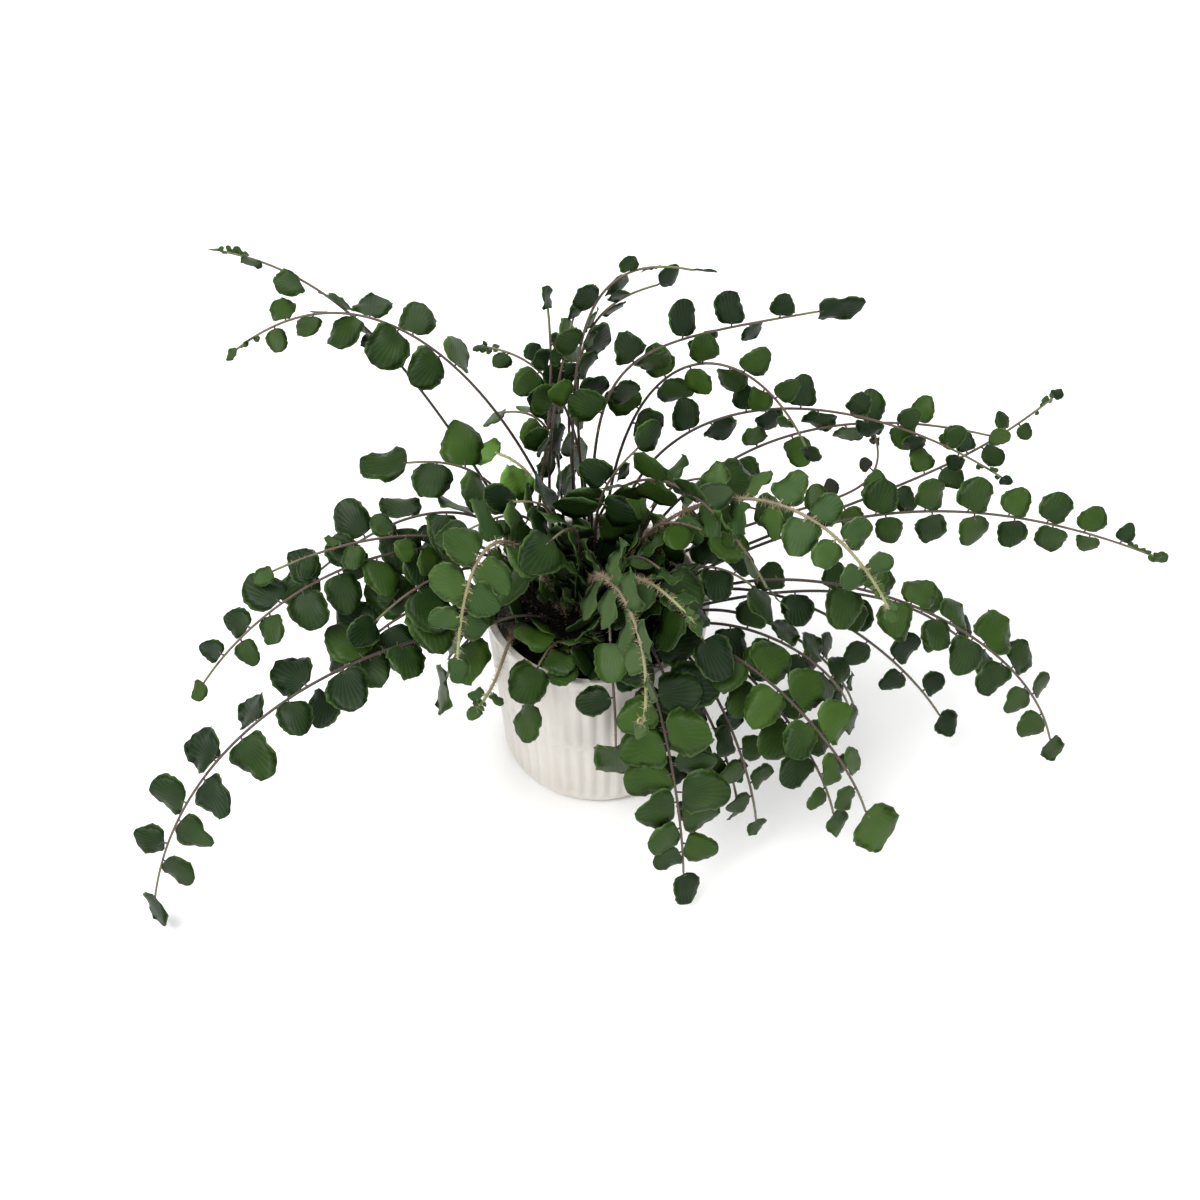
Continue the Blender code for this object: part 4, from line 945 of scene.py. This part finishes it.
def mixed(tree, factor, first, second):
    values = {0: factor, 6: first, 7: second}
    return result(tree, "ShaderNodeMix", values, 2, data_type="RGBA", clamp_factor=True)


lengthways, sideways, _ = split(attribute(surface, "mark"))
face = split(attribute(surface, "blade"))[2]
fan = sideways.math("ARCTAN2", lengthways + VEIN_ROOT)
veins = ((fan * VEINS).math("SINE") * 0.5 + 0.5) ** VEIN_SHARPNESS
cloud = object_noise(surface, *LEAF_CLOUD)
blend = (cloud - 0.5) * CLOUD_SHARE + attribute(surface, "tint", "Fac")
colour = mixed(surface, blend, given["Deep"], given["Fresh"])
colour = mixed(surface, veins * VEIN_SHARE, colour, given["Fresh"])
inside = {"Value": face.math("ABSOLUTE"), **RIM}
rim = result(surface, "ShaderNodeMapRange", inside, interpolation_type="SMOOTHSTEP")
colour = mixed(surface, rim, colour, given["Margin"])
below = face.math("MINIMUM", 0.0) * UNDER_SHARE
feed(output, {"Color": mixed(surface, below, colour, given["Under"]),
              "Roughness": below * UNDER_ROUGHER + given["Roughness"],
              "Height": veins * VEIN_HEIGHT + cloud * CLOUD_HEIGHT})


def leaf_material(name, deep, fresh, margin, under, roughness):
    """Leaflet material: the shared surface in its own four tones."""
    made, tree, shader = new_material(name)
    values = {"Deep": (*deep, 1.0), "Fresh": (*fresh, 1.0), "Margin": (*margin, 1.0),
              "Under": (*under, 1.0), "Roughness": roughness}
    leaf = node(tree, "ShaderNodeGroup", values, node_tree=surface).outputs
    feed(shader, {"Base Color": leaf["Color"], "Roughness": leaf["Roughness"],
                  "Normal": bump(tree, leaf["Height"], *LEAF_BUMP), "Specular IOR Level": LEAF_SPECULAR})
    return made


mature = leaf_material("mature_leaflet", (0.0040, 0.0145, 0.0030), (0.041, 0.090, 0.009),
                       (0.095, 0.175, 0.045), (0.036, 0.062, 0.022), 0.45)
young = leaf_material("young_leaflet", (0.024, 0.058, 0.013), (0.070, 0.130, 0.024),
                      (0.14, 0.21, 0.07), (0.058, 0.095, 0.032), 0.54)
newest = leaf_material("newest_leaflet", (0.070, 0.150, 0.022), (0.170, 0.330, 0.050),
                       (0.22, 0.38, 0.10), (0.100, 0.180, 0.045), 0.50)
dried = leaf_material("dried_leaflet", (0.022, 0.028, 0.018), (0.050, 0.050, 0.032),
                      (0.09, 0.08, 0.06), (0.060, 0.050, 0.038), 0.75)

# The stems' surface: a tone that runs from foot to tip, broken by fine streaks
STREAKS = (300.0, 4.0, 0.7)
STREAK_SHARE = 0.44
STEM_ROUGHNESS = 0.5
STEM_BUMP = (0.35, 0.0003)

streaked, given, output = node_group(
    "ShaderNodeTree", "stem_streaks", (("Streak scale", "Float"), ("Streak share", "Float")),
    (("Tone", "Float"), ("Height", "Float")))
streaks = object_noise(streaked, given["Streak scale"], *STREAKS[1:])
feed(output, {"Tone": (streaks - 0.5) * given["Streak share"] + attribute(streaked, "share", "Fac"),
              "Height": streaks})


def stem_material(name, *stops):
    made, tree, shader = new_material(name)
    values = {"Streak scale": STREAKS[0], "Streak share": STREAK_SHARE}
    stem = node(tree, "ShaderNodeGroup", values, node_tree=streaked).outputs
    feed(shader, {"Base Color": ramp(tree, stem["Tone"], *stops), "Roughness": STEM_ROUGHNESS,
                  "Normal": bump(tree, stem["Height"], *STEM_BUMP)})
    return made


wiry = stem_material("wiry_stem", (0.05, (0.012, 0.008, 0.007)), (0.45, (0.040, 0.026, 0.018)),
                     (0.86, (0.095, 0.066, 0.042)), (1.0, (0.120, 0.130, 0.050)))
tender = stem_material("tender_stem", (0.05, (0.030, 0.018, 0.012)), (0.40, (0.160, 0.110, 0.072)),
                       (0.70, (0.230, 0.190, 0.110)), (1.0, (0.250, 0.300, 0.110)))

HAIR_MOTTLE = 90.0
HAIR_TONES = ((0.35, (0.24, 0.16, 0.10)), (0.65, (0.50, 0.42, 0.29)))
HAIR_ROUGHNESS = 0.7
fuzz, tree, shader = new_material("pale_hair")
feed(shader, {"Base Color": ramp(tree, object_noise(tree, HAIR_MOTTLE), *HAIR_TONES),
              "Roughness": HAIR_ROUGHNESS})

BLADE_THICKNESS_FINE = 0.00042
EDGE_NOTCH = 0.046
STEM_SIDES = 8
STALKLET_RADII = (0.00055, 0.00042)
STALKLET_INTO_BLADE = 0.09
STALKLET_TONE = 0.35
PETIOLE_THINNER = 0.86
HAIR_LENGTH = 0.0024
HAIR_RADIUS = 0.00010
HAIR_DENSITY = 150000.0
YOUNG_HAIR_LENGTH = 0.0033
YOUNG_HAIR_RADIUS = 0.00014
YOUNG_HAIR_DENSITY = 1500000.0
FOOT_STEPS = 3
TINT_MIDDLE = {"left": 0.20, "up": 0.30, "right": 0.20, "front": 0.30, "crown": 0.32}
TINT_SPREAD = 0.64
BRIGHT_TINT = 0.12
BRIGHTEST_FRONDS = ("left_09", "right_01", "front_04", "front_06", "up_08", "left_03")
DRIED_FROND = "right_06"
NEWEST_FROND = "up_08"
# A leaflet's shoulders, skew and how deep its base is notched, each drawn between two values
SHAPE_DRAWS = ((0.06, 0.34), (-0.12, 0.12), (0.0, 0.30))
LEAF_SCALES = {"left": 1.0, "up": 0.94, "right": 0.92, "front": 0.96, "crown": 0.96}
# Where a hanging tip turns its leaflets about the rachis, in degrees, and how much larger they are there
TIP_TURN_FROM = 0.55
TIP_TURNS = {"left_08": (-44, 1.32), "right_08": (34, 1.20)}
CREST_TURN_SHARE = 0.35
CREST_GROWTH = 0.92
YOUNG_RUFFLE = 2.2
RUFFLE = 1.35
NARROW_CREST = ("right_01", 0.58)
SMALL_CREST = 0.0105
TIP_TUFT_LEAVES = 7
TIP_TUFT_LENGTH = 0.06
TIP_TUFT_SIZES = (0.0022, 0.0052)
TIP_TUFT_CHOICE = (0, 25, 1.0, 0.4)
TIP_TUFT_TINTS = (0.0, 0.8)
CURL_RADIUS = 0.0019
CURL_STEPS = 16
CURL_TURNS = 1.35
CURL_TIGHTENING = 0.62
CURL_THICKNESS = 0.00055
# Leaflets low on the bare share of a stem, which the dense middle of the plant shows
LOW_LEAF_FROM = 0.42
LOW_LEAF_COUNTS = {"crown": 7, "front_06": 3, "front_10": 4, "front_11": 4, "left_12": 2, "left_07": 2}
LOW_LEAF_SIZES = (0.66, 0.95)
LOW_LEAF_LIFTS = (-40, 20)

Draft = namedtuple("Draft", "points edges numbers vectors")


def new_draft():
    """Points and edges of a stem with its leaflets, and what the Geometry Nodes group reads of them."""
    return Draft([], [], {name: [] for name in ("leafy", "thick", "hairy", "share", "phase", "tint")},
                 {name: [] for name in ("root", "length_way", "width_way", "over", "size", "lie", "shape")})


def add_line(draft, places, **values):
    """A run of stem; each value is one number for the run, or one per place."""
    for index, place in enumerate(places):
        if index:
            draft.edges.append((len(draft.points) - 1, len(draft.points)))
        draft.points.append(place)
        for name, column in draft.numbers.items():
            value = values.get(name, 0.0)
            column.append(value[index] if isinstance(value, (list, tuple)) else value)
        for column in draft.vectors.values():
            column.append((0.0, 0.0, 0.0))


def add_leaf(draft, root, axes, form, tint, draw):
    draft.points.append(root)
    own = {"leafy": 1.0, "phase": form["phase"], "tint": tint}
    for name, column in draft.numbers.items():
        column.append(own.get(name, 0.0))
    own = {"root": root, "length_way": axes[0], "width_way": axes[1], "over": axes[2],
           "size": (form["stalk"], form["length"], form["width"]),
           "lie": (form["cup"], form["bend"], form["wave"]),
           "shape": [draw.uniform(*span) for span in SHAPE_DRAWS]}
    for name, column in draft.vectors.items():
        column.append(own[name])


def resized(form, length):
    """The same leaflet at another length."""
    return {**form, "length": length, "width": form["width"] * length / form["length"]}


def add_curl(draft, tip, direction, up):
    """The rolled end of a tip that is still unfolding."""
    middle = tip - up * CURL_RADIUS
    places = []
    for step in range(CURL_STEPS + 1):
        turn = math.tau * CURL_TURNS * step / CURL_STEPS
        radius = CURL_RADIUS * (1 - CURL_TIGHTENING * step / CURL_STEPS)
        places.append(middle + (up * math.cos(turn) + direction * math.sin(turn)) * radius)
    add_line(draft, places, thick=CURL_THICKNESS, share=1.0, hairy=1.0)


def grow_frond(draft, name, finish, young, seed):
    mesh = bpy.data.meshes.new(name)
    mesh.from_pydata(draft.points, draft.edges, [])
    for column, values in draft.numbers.items():
        store(mesh, column, values)
    for column, values in draft.vectors.items():
        store(mesh, column, values, "FLOAT_VECTOR")
    return grow(add_object(name, mesh), frond_tree, blade=flat, blade_thickness=BLADE_THICKNESS_FINE,
                edge_notch=EDGE_NOTCH, stem_sides=STEM_SIDES, seed=seed, leaf_finish=finish,
                hair_density=YOUNG_HAIR_DENSITY if young else HAIR_DENSITY,
                hair_length=YOUNG_HAIR_LENGTH if young else HAIR_LENGTH,
                hair_radius=YOUNG_HAIR_RADIUS if young else HAIR_RADIUS,
                stem_finish=tender if young else wiry, hair_finish=fuzz)


flat = flat_blade()
for frond_index, frond in enumerate(FRONDS):
    corners = corner_tree(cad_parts["frond_" + frond.name])
    path = solid_path(frond, corners)
    draw = random.Random(DRAW_SEED + frond_index)
    frond_tint = TINT_MIDDLE[frond.name[:-3]] + draw.uniform(-0.5, 0.5) * TINT_SPREAD
    if frond.name in BRIGHTEST_FRONDS:
        frond_tint += BRIGHT_TINT
    draft = new_draft()
    foot = foot_point(frond)
    places = [foot - Vector((0, 0, (STEM_HOLE_DEPTH - 2 * SOIL_GAP) * (1 - step / FOOT_STEPS)))
              for step in range(FOOT_STEPS)] + path.points
    stem_shares = [0.0] * FOOT_STEPS + [index / PATH_SAMPLES for index in range(PATH_SAMPLES + 1)]
    thinner = 1.0 if frond.young else PETIOLE_THINNER
    add_line(draft, places, thick=[stem_radius(share) * thinner for share in stem_shares], share=stem_shares,
             hairy=[1.0 - 0.5 * share if share else 0.0 for share in stem_shares])

    leaves = []
    for leaf_index, share in enumerate(leaf_shares(frond) + [1.0]):
        way = 0 if share == 1.0 else (1 if (leaf_index + frond_index) % 2 else -1)
        leaf = solid_leaf(frond_index, leaf_index, frond, path, share, way, corners)
        if leaf is None:
            continue
        root, axes, form = leaf
        turn, growth = TIP_TURNS.get(frond.name, (0, 1))
        past = smooth((share - TIP_TURN_FROM) / (1 - TIP_TURN_FROM))
        if way == 0:
            past, growth = CREST_TURN_SHARE, CREST_GROWTH
        spin = Quaternion(frame_at(path, share, 0.0)[1], math.radians(turn) * past)
        axes = [spin @ axis for axis in axes]
        form = resized(form, form["length"] * LEAF_SCALES[frond.name[:-3]] * (1 + (growth - 1) * past))
        form["wave"] *= YOUNG_RUFFLE if frond.young else RUFFLE
        if frond.name == NARROW_CREST[0] and way == 0:
            form["width"] *= NARROW_CREST[1]
        leaves.append((root, axes, form, draw.uniform(-0.5, 0.5)))
        middle = frame_at(path, share, 0.0)[0]
        base = root + axes[0] * (form["stalk"] + form["length"] * STALKLET_INTO_BLADE)
        base -= axes[2] * 0.5 * BLADE_THICKNESS_FINE
        add_line(draft, (middle, root, base), thick=(STALKLET_RADII[0], *STALKLET_RADII),
                 share=STALKLET_TONE if not frond.young else share, hairy=0.5)
    if frond.crest < SMALL_CREST:
        if frond.young:
            tip, direction, _, up = frame_at(path, 1.0, roll_at(frond, 1.0))
            add_curl(draft, tip, direction, up)
        for index in range(TIP_TUFT_LEAVES):
            share = 1.0 - TIP_TUFT_LENGTH * index / TIP_TUFT_LEAVES
            middle, direction, across, up = frame_at(path, share, draw.uniform(0, 360))
            form = leaf_form(frond_index, frond.leaves + index, frond, TIP_TUFT_CHOICE)
            form = resized(form, draw.uniform(*TIP_TUFT_SIZES))
            shade = draw.uniform(*TIP_TUFT_TINTS)
            leaves.append((middle, leaf_axes(form, direction, across, up), form, shade))
    low_leaves = LOW_LEAF_COUNTS.get(frond.name, LOW_LEAF_COUNTS.get(frond.name[:-3], 0))
    for index in range(low_leaves):
        share = frond.bare * (LOW_LEAF_FROM + (1.0 - LOW_LEAF_FROM) * index / low_leaves)
        root, forward, outward, up = leaf_root(frond, path, share, 1 if index % 2 else -1)
        choice = (draw.uniform(*LOW_LEAF_LIFTS), 0, 1.0, 1.0)
        form = leaf_form(frond_index, 2 * frond.leaves + index, frond, choice)
        form = resized(form, frond.size * draw.uniform(*LOW_LEAF_SIZES))
        leaves.append((root, leaf_axes(form, forward, outward, up), form, draw.uniform(-0.5, 0.5)))
    for root, axes, form, shade in leaves:
        add_leaf(draft, root, axes, form, frond_tint + shade * TINT_SPREAD, draw)
    finish = {DRIED_FROND: dried, NEWEST_FROND: newest}.get(frond.name, young if frond.young else mature)
    piece = grow_frond(draft, "frond_" + frond.name + "_fine", finish, frond.young, frond_index)
    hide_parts("frond_" + frond.name)
    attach(piece, "root")

# Young curls
# New fronds that have just come up between the stems: short, densely haired stalks whose rolled heads
# hold the first folded leaflets.
CURL_SEED = 97
# Foot on the soil (x, y), height, bearing and lean of each
YOUNG_CURLS = (
    (-0.004, -0.010, 0.026, 200, 0.010), (0.012, -0.006, 0.024, 300, 0.008),
    (0.002, -0.020, 0.018, 250, 0.009), (-0.016, -0.004, 0.020, 170, 0.007),
    (0.018, 0.004, 0.028, 20, 0.009), (-0.006, 0.012, 0.030, 120, 0.008))
CURL_STALK_STEPS = 10
CURL_HEADS = (0.0021, 0.0030)
CURL_LEAVES = 10
CURL_LEAF_SIZES = (0.0042, 0.0088)
CURL_LEAF_LIFTS = (-30, 30)
CURL_LEAF_SWEEP = 30
CURL_LEAF_STALKLET = 0.5
CURL_LEAF_CUP = 2.0
CURL_LEAF_TINTS = (0.1, 0.9)
CURL_LEAVES_FROM = CURL_STALK_STEPS - 3
CURL_TAPER = 0.35
CURL_TONES = (0.35, 0.95)
CURL_STALK_RADIUS = 0.0008
CURL_HAIRS = 0.35

draw = random.Random(CURL_SEED)
draft = new_draft()
for x, y, height, bearing, lean in YOUNG_CURLS:
    foot = Vector((x, y, soil_height(x, y) - SOIL_BUMPS[1]))
    way = bearing_vector(bearing)
    places = []
    for step in range(CURL_STALK_STEPS + 1):
        share = step / CURL_STALK_STEPS
        places.append(foot + way * lean * share * share + Vector((0, 0, height * share)))
    head = draw.uniform(*CURL_HEADS)
    rise = (places[-1] - places[-2]).normalized()
    across = rise.cross(way).normalized()
    out = across.cross(rise)
    middle = places[-1] + out * head
    for step in range(1, CURL_STEPS + 1):
        turn = math.tau * CURL_TURNS * step / CURL_STEPS
        radius = head * (1 - CURL_TIGHTENING * step / CURL_STEPS)
        places.append(middle + (rise * math.sin(turn) - out * math.cos(turn)) * radius)
    count = len(places)
    shares = [index / count for index in range(count)]
    first, last = CURL_TONES
    add_line(draft, places, thick=[CURL_STALK_RADIUS * (1 - CURL_TAPER * share) for share in shares],
             share=[first + (last - first) * share for share in shares], hairy=CURL_HAIRS)
    for index in range(CURL_LEAVES):
        place = places[CURL_LEAVES_FROM + index * 2]
        choice = (draw.uniform(*CURL_LEAF_LIFTS), CURL_LEAF_SWEEP, 1.0, CURL_LEAF_STALKLET)
        form = leaf_form(len(FRONDS), index, FRONDS[0], choice)
        form = resized(form, draw.uniform(*CURL_LEAF_SIZES))
        form["cup"] *= CURL_LEAF_CUP
        side = across if index % 2 else -across
        add_leaf(draft, place, leaf_axes(form, rise, side, out), form, draw.uniform(*CURL_LEAF_TINTS), draw)
curls = grow_frond(draft, "young_curls", young, True, CURL_SEED)
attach(curls, "root")
bpy.data.objects.remove(flat, do_unlink=True)

# Dried tuft
# A felted clump of dead grey-brown root hair that lies on the soil inside the rim at the left.
TUFT_PLACE = Vector((-0.0462, -0.0098, 0.1062))
TUFT_SPREAD = (0.0036, 0.0052, 0.0030)
TUFT_FIBRES = 420
TUFT_STEPS = 7
TUFT_STEP = 0.0012
TUFT_WANDER = 0.55
TUFT_FIBRE_RADIUS = 0.00010
TUFT_INSIDE = 0.0530
TUFT_SEED = 77
FELT_MOTTLE = 160.0
# Painted light: the felt's grey-brown is set much lighter than its own tone, so the tuft still shows in the
# shade the leaves above cast on it
FELT_TONES_PAINTED_LIGHTER = ((0.30, (0.110, 0.110, 0.085)), (0.70, (0.400, 0.380, 0.300)))
FELT_ROUGHNESS = 0.9

tuft_tree, given, output = geometry_group("felted_fibres", (
    ("Fibre radius", "Float"), ("Finish", "Material")))
lines = result(tuft_tree, "GeometryNodeMeshToCurve", {0: given["Geometry"]})
circle = {"Resolution": 3, "Radius": given["Fibre radius"]}
ring = result(tuft_tree, "GeometryNodeCurvePrimitiveCircle", circle)
sweep = {"Curve": lines, "Profile Curve": ring, "Fill Caps": True}
hand_out(output, result(tuft_tree, "GeometryNodeCurveToMesh", sweep), given["Finish"])

felt, tree, shader = new_material("dried_felt")
feed(shader, {"Base Color": ramp(tree, object_noise(tree, FELT_MOTTLE), *FELT_TONES_PAINTED_LIGHTER),
              "Roughness": FELT_ROUGHNESS})

draw = random.Random(TUFT_SEED)
points, edges = [], []
for _ in range(TUFT_FIBRES):
    place = TUFT_PLACE + Vector([draw.gauss(0, 1) * reach for reach in TUFT_SPREAD])
    way = Vector([draw.gauss(0, 1) for _ in range(3)]).normalized()
    for step in range(TUFT_STEPS):
        inside = min(1.0, TUFT_INSIDE / math.hypot(place.x, place.y))
        points.append((place.x * inside, place.y * inside, max(place.z, SOIL_EDGE_HEIGHT)))
        if step:
            edges.append((len(points) - 2, len(points) - 1))
        way = (way + Vector([draw.gauss(0, TUFT_WANDER) for _ in range(3)])).normalized()
        place = place + way * TUFT_STEP
mesh = bpy.data.meshes.new("dried_tuft")
mesh.from_pydata(points, edges, [])
tuft = grow(add_object("dried_tuft", mesh), tuft_tree, fibre_radius=TUFT_FIBRE_RADIUS, finish=felt)
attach(tuft, "root")

# Floor, light and camera
# A plain pale floor under even, soft studio light from a wide lamp at the upper left and two weaker ones.
FLOOR_SIZE = 60.0
PAPER_MOTTLE = 2.0
PAPER_TONES = ((0.3, (0.93,) * 3), (0.7, (0.95,) * 3))
PAPER_ROUGHNESS = 0.9
mesh = bpy.data.meshes.new("floor")
half = 0.5 * FLOOR_SIZE
corners = [(x * half, y * half, 0) for x, y in ((-1, -1), (1, -1), (1, 1), (-1, 1))]
mesh.from_pydata(corners, [], [(0, 1, 2, 3)])
floor = add_object("floor", mesh)
paper, tree, shader = new_material("pale_paper")
feed(shader, {"Base Color": ramp(tree, object_noise(tree, PAPER_MOTTLE), *PAPER_TONES),
              "Roughness": PAPER_ROUGHNESS})
floor.data.materials.append(paper)

# Name, the way the light comes from, strength, and how wide the lamp looks in degrees
LIGHTS = (
    ("key", (-0.9, -0.4, 1.6), 3.4, 48),
    ("fill", (1.0, -1.3, 0.9), 1.0, 50),
    ("back", (0.3, 1.5, 1.2), 1.3, 50),
)
for name, place, strength, width in LIGHTS:
    lamp = bpy.data.lights.new(name, "SUN")
    lamp.energy = strength
    lamp.angle = math.radians(width)
    made = bpy.data.objects.new(name, lamp)
    bpy.context.scene.collection.objects.link(made)
    made.rotation_euler = (-Vector(place)).to_track_quat("-Z", "Y").to_euler()

SKY_STRENGTH = 0.40
world = bpy.data.worlds.new("studio")
world.use_nodes = True
world.node_tree.nodes["Background"].inputs["Color"].default_value = (1.0, 1.0, 1.0, 1.0)
world.node_tree.nodes["Background"].inputs["Strength"].default_value = SKY_STRENGTH
bpy.context.scene.world = world
bpy.context.scene.view_settings.view_transform = "Standard"

AIM = Vector((0.0016, 0.0, 0.113))
CAMERA_ELEVATION = 49.5
CAMERA_DISTANCE = 1.4
CAMERA_LENS = 79.08
SENSOR_WIDTH = 36.0
lens = bpy.data.cameras.new("camera")
lens.lens = CAMERA_LENS
lens.sensor_width = SENSOR_WIDTH
camera = bpy.data.objects.new("camera", lens)
bpy.context.scene.collection.objects.link(camera)
slope = math.radians(CAMERA_ELEVATION)
camera.location = AIM + Vector((0.0, -math.cos(slope), math.sin(slope))) * CAMERA_DISTANCE
camera.rotation_euler = (AIM - camera.location).to_track_quat("-Z", "Y").to_euler()
bpy.context.scene.camera = camera
